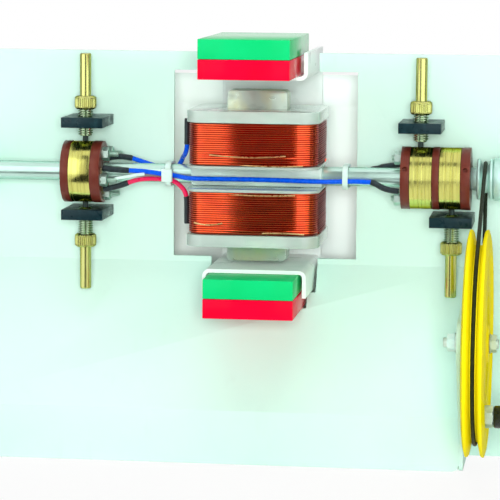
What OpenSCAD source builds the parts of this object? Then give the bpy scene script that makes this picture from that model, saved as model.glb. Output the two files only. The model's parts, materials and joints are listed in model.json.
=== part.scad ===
// Demonstration electric motor: an open two-coil rotor between two bar
// magnets, with a split commutator, a pair of slip rings, four spring
// brushes and a hand-cranked belt wheel, all carried by a bent sheet stand.
// Units are millimetres. X runs along the rotor shaft, Y goes away from
// the viewer, Z is up. The stand's underside is Z = 0.

/* [Stand] */
// Height of the rotor shaft above the table
shaft_height = 152; // [140:1:180]
// Left end of the stand, measured from the rotor centre
stand_left = 166; // [155:1:200]
// Right end of the stand, measured from the rotor centre
stand_right = 150; // [145:1:180]
// Thickness of the bent stand sheet
sheet_t = 2; // [1:0.5:3]
// Distance from the shaft to the front of the upright panel
panel_y = 22; // [20:1:40]
// Height of the panel's top edge above the shaft
panel_top = 63.9; // [58:0.1:80]
// Depth of the bend line below the shaft
crease_drop = 50; // [48.5:0.5:60]
// Distance from the shaft forward to the foot's front face
foot_front = 25; // [15:1:50]
// Height of the foot's upright lip
lip_height = 28.6; // [20:0.1:40]
// Right end of the sloping apron, where the wheel gap begins
apron_right = 110; // [100:1:111]
// How far the narrow right part leans forward at the table
right_lean = 2; // [0:0.5:8]
// Radius of the lip's lower corner
lip_corner_r = 4; // [2:0.5:8]
// Width of the window behind the rotor
window_w = 99.6; // [95:0.1:110]
// Sideways offset of the window and the magnet trays
window_dx = 0.7; // [-2:0.1:2]
// Height of the window's top edge above the shaft
window_up = 54; // [52:0.5:58]
// Depth of the window's bottom edge below the shaft
window_down = 47; // [46:0.5:48]
// Thickness of the base plate
base_t = 3; // [2:0.5:6]
// Distance from the shaft back to the rear cover's outer face
rear_y = 64; // [58:1:90]
// Height of the rear cover above the table
rear_h = 202; // [150:1:210]
// Clearance between the stand's fitted sheets
sheet_gap = 0.3; // [0.1:0.1:0.5]

/* [Wheel bracket] */
// Thickness of the wheel bracket plate
ear_t = 2.2; // [1.5:0.1:2.4]
// Distance from the shaft forward to the wheel axle
wheel_fwd = 60; // [50:1:70]
// Depth of the wheel axle below the shaft
wheel_down = 78; // [70:1:90]
// Radius of the bracket's nose round the axle
ear_r = 11; // [8:0.5:16]

/* [Magnets and trays] */
// Width of a bar magnet
magnet_w = 47.2; // [40:0.1:49]
// Height of a bar magnet
magnet_h = 20.6; // [15:0.1:25]
// Length of a bar magnet
magnet_l = 88; // [60:1:90]
// Front face of the upper magnet, forward of the shaft
top_magnet_fwd = 64; // [40:1:70]
// Front face of the lower magnet, forward of the shaft
bottom_magnet_fwd = 47; // [40:1:70]
// Distance from the shaft up to the upper tray's floor
tray_up = 51.6; // [49:0.1:53]
// Distance from the shaft down to the lower tray's floor
tray_down = 48.3; // [48:0.1:50]
// Thickness of the tray sheet
tray_t = 2; // [1.5:0.1:2.2]
// Inside width of a tray
tray_w = 51; // [49.5:0.1:52]
// Height of a tray's side walls over its floor
tray_wall = 12.5; // [8:0.1:16]
// Inside bend radius of a tray
tray_r = 1.8; // [1:0.1:1.9]
// Front edge of the trays, forward of the shaft
tray_fwd = 22; // [15:1:40]
// Distance from the shaft back to the yoke's back plate
yoke_y = 51.5; // [49:0.5:55]
// Height of the yoke's spacers above and below the shaft
spacer_z = 25; // [15:1:35]
// Diameter of a yoke spacer
spacer_d = 9; // [7:0.5:12]
// Gap between a magnet and its tray floor
magnet_gap = 0.2; // [0.1:0.1:0.5]

/* [Shaft and bearings] */
// Diameter of the rotor shaft
shaft_d = 10; // [8:0.5:10]
// Radial clearance of a running fit
run_gap = 0.05; // [0.01:0.01:0.1]
// Inner face of the left bearing bracket, left of the rotor centre
left_bearing_x = 147; // [145:0.5:150]
// Inner face of the right bearing bracket, right of the rotor centre
right_bearing_x = 132; // [128:0.5:134]
// Thickness of a bearing bracket plate
bracket_t = 3; // [2:0.5:5]
// Half height of a bearing bracket
bracket_h = 15; // [12:1:20]
// Reach of a bearing bracket in front of the shaft axis
bracket_nose = 12; // [10:0.5:16]
// Width of a bearing bracket's foot along the panel
bracket_foot = 13; // [9:0.5:16]
// Outside diameter of a bearing bush
bush_d = 16; // [14:0.5:18]
// Length of a bearing bush
bush_l = 6; // [4:0.5:8]
// Outside diameter of a shaft collar
collar_d = 18; // [16:0.5:22]
// Width of a shaft collar
collar_w = 5; // [4:0.5:6]

/* [Rotor] */
// Width of the iron core
core_w = 31.8; // [28:0.1:32]
// Depth of the iron core
core_d = 15; // [12:0.5:18]
// Half length of the iron core
core_half = 45.3; // [42:0.1:46]
// Corner radius at the ends of the iron core
core_r = 2.4; // [1:0.1:4]
// Width of a coil former's outer flange
former_w = 70; // [66:0.1:70.4]
// Depth of a coil former's outer flange
former_d = 62; // [56:0.5:63]
// Corner radius of a coil former's flange
former_r = 9; // [6:0.5:12]
// Distance from the shaft axis to a coil former's end
former_top = 35.6; // [33:0.1:36]
// Thickness of a coil former's outer flange
flange_t = 6.2; // [3:0.1:7]
// Thickness of a coil former's inner flange
inner_flange_t = 1.5; // [1:0.1:2]
// Distance from the shaft axis to a coil former's inner end
former_in = 5.3; // [5.2:0.1:7]
// Wall of the former round the iron core
former_wall = 1.6; // [1.2:0.1:3]
// Clearance between the former and the iron core
core_gap = 0.3; // [0.1:0.1:0.5]
// Width of the clear frame's core pocket over its walls
centre_w = 37; // [34:0.5:44]
// Depth of the clear frame round the shaft
centre_d = 20; // [18:0.5:21]
// Thickness of the clear frame's outer walls
frame_wall = 1.6; // [1.2:0.1:2]

/* [Windings] */
// Turns in the outer layer of a coil
coil_turns = 19; // [10:1:20]
// Thickness of a coil's wire
coil_wire_d = 0.7; // [0.5:0.05:0.8]
// Distance between neighbouring turns
coil_pitch = 1.13; // [1.1:0.01:1.2]
// Width of a coil over its outer turns
coil_w = 69.2; // [60:0.1:69.6]
// Depth of a coil over its outer turns
coil_d = 60.4; // [54:0.1:62]
// Corner radius of a coil over its outer turns
coil_r = 10; // [8:0.5:14]
// Clearance between a coil's outer turns and its inner layers
coil_gap = 0.3; // [0.25:0.05:0.4]

/* [Commutator and slip rings] */
// Diameter of the insulating end flanges
drum_d = 33; // [28:0.5:34]
// Diameter of the brass rings and segments
ring_d = 32.6; // [27:0.1:32.9]
// Diameter of the insulating hub under the brass
hub_d = 26; // [22:0.5:28]
// Clearance between brass and hub
ring_gap = 0.1; // [0.05:0.05:0.3]
// Left face of the commutator, left of the rotor centre
comm_x = 104.6; // [100:0.1:110]
// Width of the commutator's left flange
comm_flange_l = 4.3; // [3:0.1:6]
// Width of the commutator's brass segments
comm_brass = 11.6; // [9:0.1:14]
// Width of the commutator's right flange
comm_flange_r = 5.2; // [3:0.1:6]
// Gap between the two commutator segments
comm_split = 1.4; // [0.8:0.1:2.5]
// Left face of the slip-ring drum, right of the rotor centre
slip_x = 76.4; // [72:0.1:80]
// Width of the slip-ring drum's left flange
slip_flange_l = 4.6; // [3:0.1:6]
// Width of the first slip ring
slip_ring_a = 12; // [10:0.1:13]
// Width of the flange between the slip rings
slip_mid = 3.5; // [2:0.1:5]
// Width of the second slip ring
slip_ring_b = 11.5; // [10:0.1:13]
// Width of the slip-ring drum's right flange
slip_flange_r = 4.8; // [3:0.1:5]
// Diameter of the terminal studs
stud_d = 3; // [2.5:0.5:3]
// Distance of the terminal studs from the shaft axis
stud_ring = 11.4; // [10.5:0.1:12]
// Length of the terminal studs beyond the drum face
stud_out = 8.8; // [7:0.1:10]
// Depth of the terminal studs in the drum
stud_in = 4; // [2:0.5:4.2]
// Width of a terminal nut across its flats
stud_nut_af = 6.4; // [5.4:0.1:6.6]
// Thickness of a terminal nut
stud_nut_t = 3; // [2:0.1:3.2]
// Thickness of a ring lug under a terminal nut
lug_t = 0.8; // [0.5:0.1:1]

/* [Brush gear] */
// Width of a brush block
block_w = 22.5; // [20:0.5:24]
// Thickness of a brush block
block_t = 5.5; // [4:0.1:6]
// Distance from the shaft forward to a block's front face
block_fwd = 11.25; // [8:0.25:14]
// Underside of the upper blocks above the shaft
block_up = 24; // [22:0.1:26]
// Top of the lower blocks below the shaft
block_down = 19.8; // [18:0.1:21]
// Left brush axis, left of the rotor centre
brush_left_x = 93.6; // [92:0.1:96]
// Upper right brush axis, right of the rotor centre
brush_right_top_x = 86; // [84:0.1:89]
// Lower right brush axis, right of the rotor centre
brush_right_bottom_x = 102.9; // [99:0.1:103.5]
// Outside diameter of the threaded brush tube
tube_d = 8; // [7:0.1:9]
// Pitch of the brush tube's thread
tube_pitch = 1.25; // [1:0.05:1.5]
// Depth of the brush tube's thread
tube_thread = 0.6; // [0.3:0.05:0.8]
// Inner end of a brush tube, from the shaft axis
tube_in = 19.2; // [18:0.1:19.5]
// Outer end of a brush tube, from the shaft axis
tube_out = 38; // [36:0.1:39]
// Diameter of a carbon brush
brush_d = 3; // [2.5:0.1:3.5]
// Length of a carbon brush
brush_l = 12; // [8:0.5:14]
// Travel a brush can be pushed back
brush_travel = 3; // [1:0.5:4]
// Diameter of a knurled cap
cap_d = 11.6; // [10:0.1:13]
// Inner face of a knurled cap, from the shaft axis
cap_in = 33.5; // [32:0.1:35]
// Height of a knurled cap
cap_h = 7; // [5:0.1:8]
// Number of knurls round a cap
cap_knurls = 30; // [20:1:36]
// Diameter of a terminal rod
rod_d = 6; // [5:0.1:7]
// Outer end of a terminal rod, from the shaft axis
rod_out = 63.2; // [55:0.1:70]

/* [Belt drive] */
// Outside diameter of the small pulley
small_d = 21.6; // [20:0.1:24]
// Width of the small pulley
small_w = 8.6; // [7:0.1:9]
// Width of the spacer collar between drum and small pulley
small_hub = 3.2; // [3:0.1:4]
// Diameter of the spacer collar
small_hub_d = 12; // [11.5:0.1:16]
// Diameter of the plain collar beside the small pulley's groove
tail_d = 22.4; // [16:0.1:23]
// Length of that collar
tail_l = 4.6; // [2:0.1:5]
// Radius of the belt's centre line on the small pulley
small_belt_r = 8.45; // [8.35:0.05:9]
// Outside diameter of the large wheel
wheel_d = 115.6; // [100:0.1:120]
// Width of the large wheel
wheel_w = 12; // [10:0.1:12]
// Radius of the belt's centre line on the large wheel
wheel_belt_r = 51.15; // [45:0.05:52.5]
// Thickness of the round belt
belt_d = 2.1; // [1.8:0.1:2.4]
// Clearance between the belt and a groove
belt_gap = 0.15; // [0.1:0.05:0.3]
// Depth of the recess in the wheel's faces
web_recess = 1.2; // [0.5:0.1:3]
// Diameter of the wheel's axle bolt
axle_d = 5; // [4:0.5:6]
// Outside diameter of the wheel's bush
wheel_bush_d = 9; // [8:0.5:12]
// Width of the wheel's hub boss
boss_d = 18; // [15:0.5:26]
// Radius of the crank pin's circle
crank_r = 40; // [30:1:42]
// Angle of the crank pin below the forward direction
crank_angle = 57; // [0:1:90]
// Diameter of the crank pin
crank_pin_d = 6; // [5:0.5:6]
// Width of the crank pin's nut across its flats
crank_nut_af = 10; // [8:0.5:10]
// Thickness of the crank pin's nut
crank_nut_t = 4.7; // [3:0.1:6]
// Diameter of the crank handle
handle_d = 11.4; // [10:0.1:16]
// Length of the crank handle
handle_l = 38; // [25:1:50]

/* [Wires] */
// Thickness of a connecting wire over its insulation
wire_d = 2.5; // [2:0.1:2.6]
// Thickness of a black sleeve at a wire's end
sleeve_d = 3.1; // [2.8:0.1:3.2]
// Gap between a wire's end and the sleeve that it meets
end_gap = 0.6; // [0.5:0.05:0.9]
// Left cable tie, left of the rotor centre
tie_left_x = 47.4; // [46:0.1:50]
// Right cable tie, right of the rotor centre
tie_right_x = 47; // [46:0.1:50]
// Reach of a tie in front of the shaft axis
tie_front = 9; // [8.9:0.1:10]
// Reach of a tie behind the shaft axis
tie_back = 8.2; // [8.2:0.1:9]
// Height of a tie above the shaft axis, and its depth below
tie_top = 5.4; // [5.3:0.1:7]
// Height of a cable tie's head
tie_head_h = 6.6; // [4:0.1:7]
// Width of a cable tie's head
tie_head_w = 5.4; // [4:0.1:7]
// Depth of a cable tie's head
tie_head_d = 3.6; // [2:0.1:4]
// Width of a cable tie's band
tie_w = 2.8; // [2.5:0.1:4.8]
// Thickness of a cable tie's band
tie_t = 1.1; // [0.8:0.1:1.4]

/* [Hidden] */
$fn = 48;
eps = 0.01;
H = shaft_height;
ws_x0 = window_dx - window_w / 2;
ws_x1 = window_dx + window_w / 2;
slot_x0 = window_dx - tray_w / 2 - tray_t - 1.5;
slot_x1 = window_dx + tray_w / 2 + tray_t + 1.5;
panel_back = panel_y + sheet_t;
crease_z = H - crease_drop;
foot_y = -foot_front;
slope = atan2(crease_z - lip_height, panel_y - foot_y);
skew_z = sheet_t / cos(slope);
ear_x = apron_right;
ax_y = -wheel_fwd;
ax_z = H - wheel_down;
drum_end_x = slip_x + slip_flange_l + slip_ring_a + slip_mid + slip_ring_b + slip_flange_r;
small_x = drum_end_x + small_hub;
belt_x = small_x + small_w / 2;
wheel_x = belt_x - wheel_w / 2;
wheel_x1 = belt_x + wheel_w / 2;
pin_y = ax_y - crank_r * cos(crank_angle);
pin_z = ax_z - crank_r * sin(crank_angle);
web_x1 = wheel_x1 - web_recess;
nut_t = 4;
handle_x = web_x1 + crank_nut_t + 0.3;
coil_rings = 16;
coil_sides = 6;
coil_base = former_in + inner_flange_t;
coil_room = former_top - flange_t - coil_base;
coil_start = coil_base + (coil_room - coil_pitch * coil_turns) / 2;
comm_stud_angles = [118, 197, 262, 55];
slip_stud_angles = [110, 250];

// A plate whose outline is given in Y and Z, between two X positions
module yz_plate(x0, x1) {
  translate([x0, 0, 0]) rotate([90, 0, 90]) linear_extrude(x1 - x0) children();
}

// A bar whose outline is given in X and Z, between two Y positions
module xz_bar(y0, y1) {
  translate([0, y1, 0]) rotate([90, 0, 0]) linear_extrude(y1 - y0) children();
}

module box(x0, x1, y0, y1, z0, z1) {
  translate([x0, y0, z0]) cube([x1 - x0, y1 - y0, z1 - z0]);
}

// A round bar along X
module xrod(x0, x1, d) {
  translate([x0, 0, 0]) rotate([0, 90, 0]) cylinder(h = x1 - x0, d = d);
}

// A round bar along Y
module yrod(y0, y1, d) {
  translate([0, y0, 0]) rotate([-90, 0, 0]) cylinder(h = y1 - y0, d = d);
}

// A hexagon bar along X
module xhex(x0, x1, af) {
  translate([x0, 0, 0]) rotate([0, 90, 0]) cylinder(h = x1 - x0, d = af / cos(30), $fn = 6);
}

module rrect(w, h, r) {
  square([w - 2 * r, h], center = true);
  square([w, h - 2 * r], center = true);
  for (sx = [-1, 1]) {
    for (sy = [-1, 1]) {
      translate([sx * (w / 2 - r), sy * (h / 2 - r)]) circle(r = r);
    }
  }
}

// Places its children on the shaft's axis
module on_shaft() {
  translate([0, 0, H]) children();
}

// Places its children on the wheel's axis
module on_axle() {
  translate([0, ax_y, ax_z]) children();
}

// ---- tubes that follow a path ----
function unit(v) = v / norm(v);
function tangent(p, i) = unit(p[min(i + 1, len(p) - 1)] - p[max(i - 1, 0)]);
function ring_at(p, i, r, sides, up) =
  let (t = tangent(p, i), n = unit(cross(t, up)), b = cross(n, t))
  [for (k = [0:sides - 1])
    p[i] + r * (cos(360 * k / sides) * n + sin(360 * k / sides) * b)];
function tube_points(p, r, sides, up) =
  [for (i = [0:len(p) - 1]) each ring_at(p, i, r, sides, up)];
function tube_faces(n, s) = concat(
  [[for (k = [0:s - 1]) k]],
  [for (i = [0:n - 2]) for (k = [0:s - 1])
    [i * s + k, (i + 1) * s + k, i * s + (k + 1) % s]],
  [for (i = [0:n - 2]) for (k = [0:s - 1])
    [i * s + (k + 1) % s, (i + 1) * s + k, (i + 1) * s + (k + 1) % s]],
  [[for (k = [0:s - 1]) n * s - 1 - k]]);

module path_tube(p, d, sides, up) {
  polyhedron(points = tube_points(p, d / 2, sides, up), faces = tube_faces(len(p), sides));
}

// A smooth path through a few chosen points
function spline_at(c, i, t) =
  let (n = len(c) - 1, a = c[max(i - 1, 0)], b = c[i])
  let (e = c[min(i + 1, n)], f = c[min(i + 2, n)])
  0.5 * (2 * b + (e - a) * t + (2 * a - 5 * b + 4 * e - f) * t * t
  + (3 * b - a - 3 * e + f) * t * t * t);
function smooth_path(c, k) = concat(
  [for (i = [0:len(c) - 2]) for (j = [0:k - 1]) spline_at(c, i, j / k)],
  [c[len(c) - 1]]);

// One turn of a coil is a rounded rectangle walked corner by corner
function coil_point(j, w, d, r) =
  let (q = floor(j / 4) % 4, a = 90 * q + 30 * (j % 4))
  let (cx = (q == 0 || q == 3) ? 1 : -1, cy = (q < 2) ? 1 : -1)
  [cx * (w / 2 - r) + r * cos(a), cy * (d / 2 - r) + r * sin(a)];
function coil_path() =
  [for (i = [0:coil_turns * coil_rings])
    let (p = coil_point(i, coil_w - coil_wire_d, coil_d - coil_wire_d, coil_r))
    [p[0], p[1], coil_start + coil_pitch * i / coil_rings]];
function turn_gaps(p) =
  [for (i = [0:len(p) - 1 - coil_rings])
    norm(p[i + coil_rings] - p[i]) * cos(2) - coil_wire_d];

echo(least_gap_between_turns = min(turn_gaps(coil_path())));
echo(winding_triangles = 4 * coil_turns * coil_rings * coil_sides);

// ================= stand =================
module front_sheet() {
  color([0.93, 0.97, 0.95]) difference() {
    union() {
      box(-stand_left, stand_right, panel_y, panel_back, crease_z - skew_z + 0.6, H + panel_top);
      yz_plate(-stand_left, apron_right) polygon([
        [panel_y, crease_z],
        [foot_y, lip_height],
        [foot_y, 0],
        [foot_y + sheet_t, 0],
        [foot_y + sheet_t, lip_height - 0.6],
        [panel_back, crease_z - 0.6]]);
      yz_plate(apron_right + ear_t, stand_right) polygon([
        [panel_y, crease_z],
        [panel_y - right_lean, 0],
        [panel_y - right_lean + sheet_t, 0],
        [panel_back, crease_z]]);
    }
    box(ws_x0, ws_x1, panel_y - 1, panel_back + 1, H - window_down, H + window_up);
    box(slot_x0, slot_x1, panel_y - 1, panel_back + 1, H + window_up - 1, H + panel_top + 1);
    box(slot_x0, slot_x1, -8, panel_back + 1, H - tray_down - tray_t - tray_wall - 1.5,
      H - window_down + 1);
    box(window_dx - magnet_w / 2 - 1, window_dx + magnet_w / 2 + 1, -8, panel_back + 1,
      H - tray_down - tray_t - magnet_gap - magnet_h - 1.2, H - window_down);
    difference() {
      box(apron_right - lip_corner_r, apron_right + 1, foot_y - 1, foot_y + sheet_t + 1,
        -1, lip_corner_r);
      translate([apron_right - lip_corner_r, foot_y - 2, lip_corner_r])
        rotate([-90, 0, 0]) cylinder(h = sheet_t + 4, r = lip_corner_r);
    }
  }
}

module wheel_bracket() {
  color([0.93, 0.97, 0.95]) difference() {
    yz_plate(ear_x, ear_x + ear_t) {
      polygon([
        [panel_back, 0],
        [panel_back, crease_z - 3],
        [panel_y, crease_z - 3],
        [panel_y - 6, crease_z - 9],
        [ax_y + 3, ax_z + ear_r - 0.4],
        [ax_y - ear_r + 0.6, ax_z - 4],
        [foot_y - 10, lip_height - 4],
        [foot_y, lip_height - 14],
        [foot_y, lip_corner_r],
        [foot_y + lip_corner_r, 0]]);
      translate([ax_y, ax_z]) circle(r = ear_r);
      translate([foot_y + lip_corner_r, lip_corner_r]) circle(r = lip_corner_r);
    }
    on_axle() xrod(ear_x - 1, ear_x + ear_t + 1, axle_d + 2 * run_gap);
  }
}

module base_plate() {
  color([0.85, 0.88, 0.87]) {
    box(-stand_left + sheet_t + 2 * sheet_gap, apron_right - sheet_gap,
      foot_y + sheet_t + sheet_gap, rear_y - sheet_t - sheet_gap, 0, base_t);
    box(apron_right - sheet_gap - 1, stand_right - sheet_t - 2 * sheet_gap,
      panel_back + sheet_gap, rear_y - sheet_t - sheet_gap, 0, base_t);
  }
}

module rear_cover() {
  color([0.9, 0.94, 0.9]) difference() {
    union() {
      box(-stand_left + sheet_gap, stand_right - sheet_gap, rear_y - sheet_t, rear_y, 0, rear_h);
      yz_plate(-stand_left + sheet_gap, -stand_left + sheet_gap + sheet_t) polygon([
        [foot_y + sheet_t + sheet_gap, 0],
        [rear_y - 1, 0],
        [rear_y - 1, rear_h],
        [panel_back + sheet_gap, rear_h],
        [panel_back + sheet_gap, crease_z - 1.4],
        [foot_y + sheet_t + sheet_gap, lip_height - 1.6]]);
      box(stand_right - sheet_gap - sheet_t, stand_right - sheet_gap,
        panel_back + sheet_gap, rear_y - 1, 0, rear_h);
    }
    translate([window_dx, 0, H]) for (s = [-1, 1]) {
      translate([0, 0, spacer_z * s]) yrod(rear_y - sheet_t - 1, rear_y + 1, 4.2);
    }
  }
}

// Heads of the screws and rivets that hold the stand together
module cover_heads() {
  for (x = [-stand_left + 14, 0, stand_right - 14]) {
    for (z = [16, rear_h - 12]) {
      difference() {
        translate([x, rear_y, z]) rotate([-90, 0, 0]) cylinder(h = 2.2, d1 = 6.4, d2 = 5);
        translate([x - 2.5, rear_y + 1.2, z - 0.4]) cube([5, 2, 0.8]);
      }
    }
  }
  translate([window_dx, 0, H]) for (s = [-1, 1]) {
    translate([0, 0, spacer_z * s]) yrod(rear_y, rear_y + 2.6, spacer_d - 2);
  }
}

module stand_screws() {
  color([0.75, 0.76, 0.77]) {
    cover_heads();
    bracket_heads();
    block_heads();
  }
}

// Outline of a tray: a U of bent sheet, floor at the bottom
module tray_outline() {
  difference() {
    translate([window_dx, tray_t + tray_wall])
      rrect(tray_w + 2 * tray_t, 2 * (tray_t + tray_wall), tray_r + tray_t);
    translate([window_dx, tray_t + tray_wall])
      rrect(tray_w, 2 * tray_wall, tray_r);
    translate([-60, tray_t + tray_wall]) square([120, 60]);
  }
}

module yoke() {
  color([0.96, 0.98, 0.97]) on_shaft() {
    xz_bar(-tray_fwd, yoke_y + tray_t) translate([0, tray_up]) tray_outline();
    xz_bar(-tray_fwd, yoke_y + tray_t) mirror([0, 1]) translate([0, tray_down]) tray_outline();
    box(window_dx - tray_w / 2 - tray_t, window_dx + tray_w / 2 + tray_t,
      yoke_y, yoke_y + tray_t, -tray_down - tray_t - 5, tray_up + tray_t + 5);
  }
}

module yoke_spacers() {
  color([0.75, 0.76, 0.77]) translate([window_dx, 0, H]) for (s = [-1, 1]) {
    translate([0, 0, spacer_z * s]) yrod(yoke_y + tray_t, rear_y - sheet_t, spacer_d);
  }
}

module magnet_half(fwd, dx, z0) {
  box(dx - magnet_w / 2, dx + magnet_w / 2, -fwd, magnet_l - fwd, z0, z0 + magnet_h / 2 - 0.1);
}

module top_magnet_red() {
  color([0.98, 0.02, 0.16]) on_shaft()
    magnet_half(top_magnet_fwd, 0, tray_up + tray_t + magnet_gap);
}

module top_magnet_green() {
  color([0.12, 0.92, 0.55]) on_shaft()
    magnet_half(top_magnet_fwd, 0, tray_up + tray_t + magnet_gap + magnet_h / 2 + 0.1);
}

module bottom_magnet_green() {
  color([0.12, 0.92, 0.55]) on_shaft()
    magnet_half(bottom_magnet_fwd, window_dx,
      -tray_down - tray_t - magnet_gap - magnet_h / 2 + 0.1);
}

module bottom_magnet_red() {
  color([0.98, 0.02, 0.16]) on_shaft()
    magnet_half(bottom_magnet_fwd, window_dx, -tray_down - tray_t - magnet_gap - magnet_h);
}

// ================= bearings =================
module bearing_bracket() {
  difference() {
    union() {
      box(0, bracket_t, -bracket_nose, panel_y, -bracket_h, bracket_h);
      box(0, bracket_foot, panel_y - bracket_t, panel_y, -bracket_h, bracket_h);
    }
    xrod(-1, bracket_t + 1, bush_d - 3);
    for (s = [-1, 1]) {
      translate([0, 0, s * (bracket_h + 4)])
        box(-1, bracket_t + 1, -bracket_nose - 1, -bracket_nose + 7, -9, 9);
    }
  }
}

module left_bracket() {
  color([0.9, 0.94, 0.92]) on_shaft() translate([-left_bearing_x, 0, 0])
    mirror([1, 0, 0]) bearing_bracket();
}

module right_bracket() {
  color([0.9, 0.94, 0.92]) on_shaft() translate([right_bearing_x, 0, 0]) bearing_bracket();
}

module bracket_heads() {
  on_shaft() for (s = [-1, 1]) {
    for (x = [-left_bearing_x - bracket_foot / 2 - 1.5, right_bearing_x + bracket_foot / 2 + 1.5]) {
      translate([x, 0, s * bracket_h / 2]) yrod(panel_y - bracket_t - 2.4, panel_y - bracket_t, 6);
    }
  }
}

module bush() {
  difference() {
    union() {
      xrod(-1.5, 0, bush_d);
      xrod(-1.5, bush_l - 1.5, bush_d - 3 - 2 * run_gap);
    }
    xrod(-2, bush_l, shaft_d + 2 * run_gap);
  }
}

module left_bush() {
  color([0.82, 0.68, 0.36]) on_shaft() translate([-left_bearing_x, 0, 0])
    mirror([1, 0, 0]) bush();
}

module right_bush() {
  color([0.82, 0.68, 0.36]) on_shaft() translate([right_bearing_x, 0, 0]) bush();
}

// ================= brush gear =================
// Each brush set is drawn upright: the shaft axis is at z = 0
module brush_place(x, s) {
  on_shaft() translate([x, 0, 0]) mirror([0, 0, s < 0 ? 1 : 0]) children();
}

module block(x, z0) {
  color([0.1, 0.15, 0.17]) on_shaft() difference() {
    box(x - block_w / 2, x + block_w / 2, -block_fwd, panel_y, z0, z0 + block_t);
    translate([x, 0, z0 - 1]) cylinder(h = block_t + 2, d = tube_d + 2 * run_gap);
  }
}

module block_top_left() { block(-brush_left_x, block_up); }
module block_bottom_left() { block(-brush_left_x, -block_down - block_t); }
module block_top_right() { block(brush_right_top_x, block_up); }
module block_bottom_right() { block(brush_right_bottom_x, -block_down - block_t); }

// Threads are drawn as rings, cut to one outline and turned
function thread_outline() = concat(
  [[brush_d / 2 + run_gap, tube_in]],
  [for (i = [0:floor((tube_out - tube_in) / tube_pitch) - 1]) each [
    [tube_d / 2 - tube_thread, tube_in + i * tube_pitch],
    [tube_d / 2, tube_in + (i + 0.5) * tube_pitch]]],
  [[tube_d / 2 - tube_thread, tube_out], [brush_d / 2 + run_gap, tube_out]]);

module brush_tube(x, s) {
  color([0.78, 0.79, 0.78]) brush_place(x, s) rotate_extrude() polygon(thread_outline());
}

module tube_top_left() { brush_tube(-brush_left_x, 1); }
module tube_bottom_left() { brush_tube(-brush_left_x, -1); }
module tube_top_right() { brush_tube(brush_right_top_x, 1); }
module tube_bottom_right() { brush_tube(brush_right_bottom_x, -1); }

brush_in = ring_d / 2 + run_gap;

module brush(x, s) {
  color([0.12, 0.12, 0.13]) brush_place(x, s)
    translate([0, 0, brush_in]) cylinder(h = brush_l, d = brush_d);
}

module brush_top_left() { brush(-brush_left_x, 1); }
module brush_bottom_left() { brush(-brush_left_x, -1); }
module brush_top_right() { brush(brush_right_top_x, 1); }
module brush_bottom_right() { brush(brush_right_bottom_x, -1); }

// A knurled cap and its terminal rod are turned from one bar
module cap(x, s) {
  color([0.85, 0.72, 0.36]) brush_place(x, s) difference() {
    union() {
      translate([0, 0, cap_in + 0.7]) linear_extrude(cap_h - 1.4) polygon(
        [for (k = [0:2 * cap_knurls - 1])
          (cap_d / 2 - (k % 2) * 0.4) * [cos(180 * k / cap_knurls), sin(180 * k / cap_knurls)]]);
      translate([0, 0, cap_in]) cylinder(h = 0.7, d1 = cap_d - 2.2, d2 = cap_d - 0.9);
      translate([0, 0, cap_in + cap_h - 0.7]) cylinder(h = 0.7, d1 = cap_d - 0.9, d2 = cap_d - 2.2);
      translate([0, 0, cap_in + cap_h - 1]) cylinder(h = rod_out - cap_in - cap_h + 0.4, d = rod_d);
      translate([0, 0, rod_out - 0.6]) cylinder(h = 0.6, d1 = rod_d, d2 = rod_d - 1.2);
    }
    translate([0, 0, cap_in - 1]) cylinder(h = tube_out - cap_in + 1.2, d = tube_d + 2 * run_gap);
  }
}

module cap_top_left() { cap(-brush_left_x, 1); }
module cap_bottom_left() { cap(-brush_left_x, -1); }
module cap_top_right() { cap(brush_right_top_x, 1); }
module cap_bottom_right() { cap(brush_right_bottom_x, -1); }

module block_heads() {
  on_shaft() {
    for (p = [[-brush_left_x, block_up + block_t / 2], [brush_right_top_x, block_up + block_t / 2],
      [-brush_left_x, -block_down - block_t / 2],
      [brush_right_bottom_x, -block_down - block_t / 2]]) {
      for (s = [-1, 1]) {
        translate([p[0] + 6.5 * s, 0, p[1]]) yrod(panel_back, panel_back + 2.2, 5.5);
      }
    }
  }
}

// ================= rotor =================
module shaft() {
  color([0.8, 0.82, 0.83]) on_shaft() {
    xrod(-left_bearing_x - bracket_t - collar_w - 3, right_bearing_x + bracket_t + collar_w + 3,
      shaft_d);
    for (x = [-left_bearing_x - bracket_t - collar_w - 2, right_bearing_x + bracket_t + 2]) {
      difference() {
        xrod(x, x + collar_w, collar_d);
        translate([x + collar_w / 2, 0, collar_d / 2 - 2]) cylinder(h = 4, d = 3);
      }
    }
  }
}

module iron_core() {
  color([0.62, 0.68, 0.62]) on_shaft() difference() {
    xz_bar(-core_d / 2, core_d / 2) rrect(core_w, 2 * core_half, core_r);
    xrod(-core_w, core_w, shaft_d + 2 * run_gap);
  }
}

// A clear frame between the two formers: a pocket for the core, and a cell on
// each side that the shaft crosses
module centre_block() {
  cell_x0 = centre_w / 2;
  cell_x1 = former_w / 2 - 0.2 - frame_wall;
  cell_y = centre_d / 2 - frame_wall;
  slot = shaft_d / 2 + run_gap;
  color([0.85, 0.97, 0.9, 0.35]) on_shaft() translate([0, 0, 0.1 - former_in])
    linear_extrude(2 * former_in - 0.2) difference() {
      square([former_w - 0.4, centre_d], center = true);
      square([core_w + 2 * core_gap, core_d + 2 * core_gap], center = true);
      square([former_w, 2 * slot], center = true);
      for (s = [-1, 1]) {
        translate([s * (cell_x0 + cell_x1) / 2, 0])
          square([cell_x1 - cell_x0, 2 * cell_y], center = true);
      }
    }
}

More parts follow.
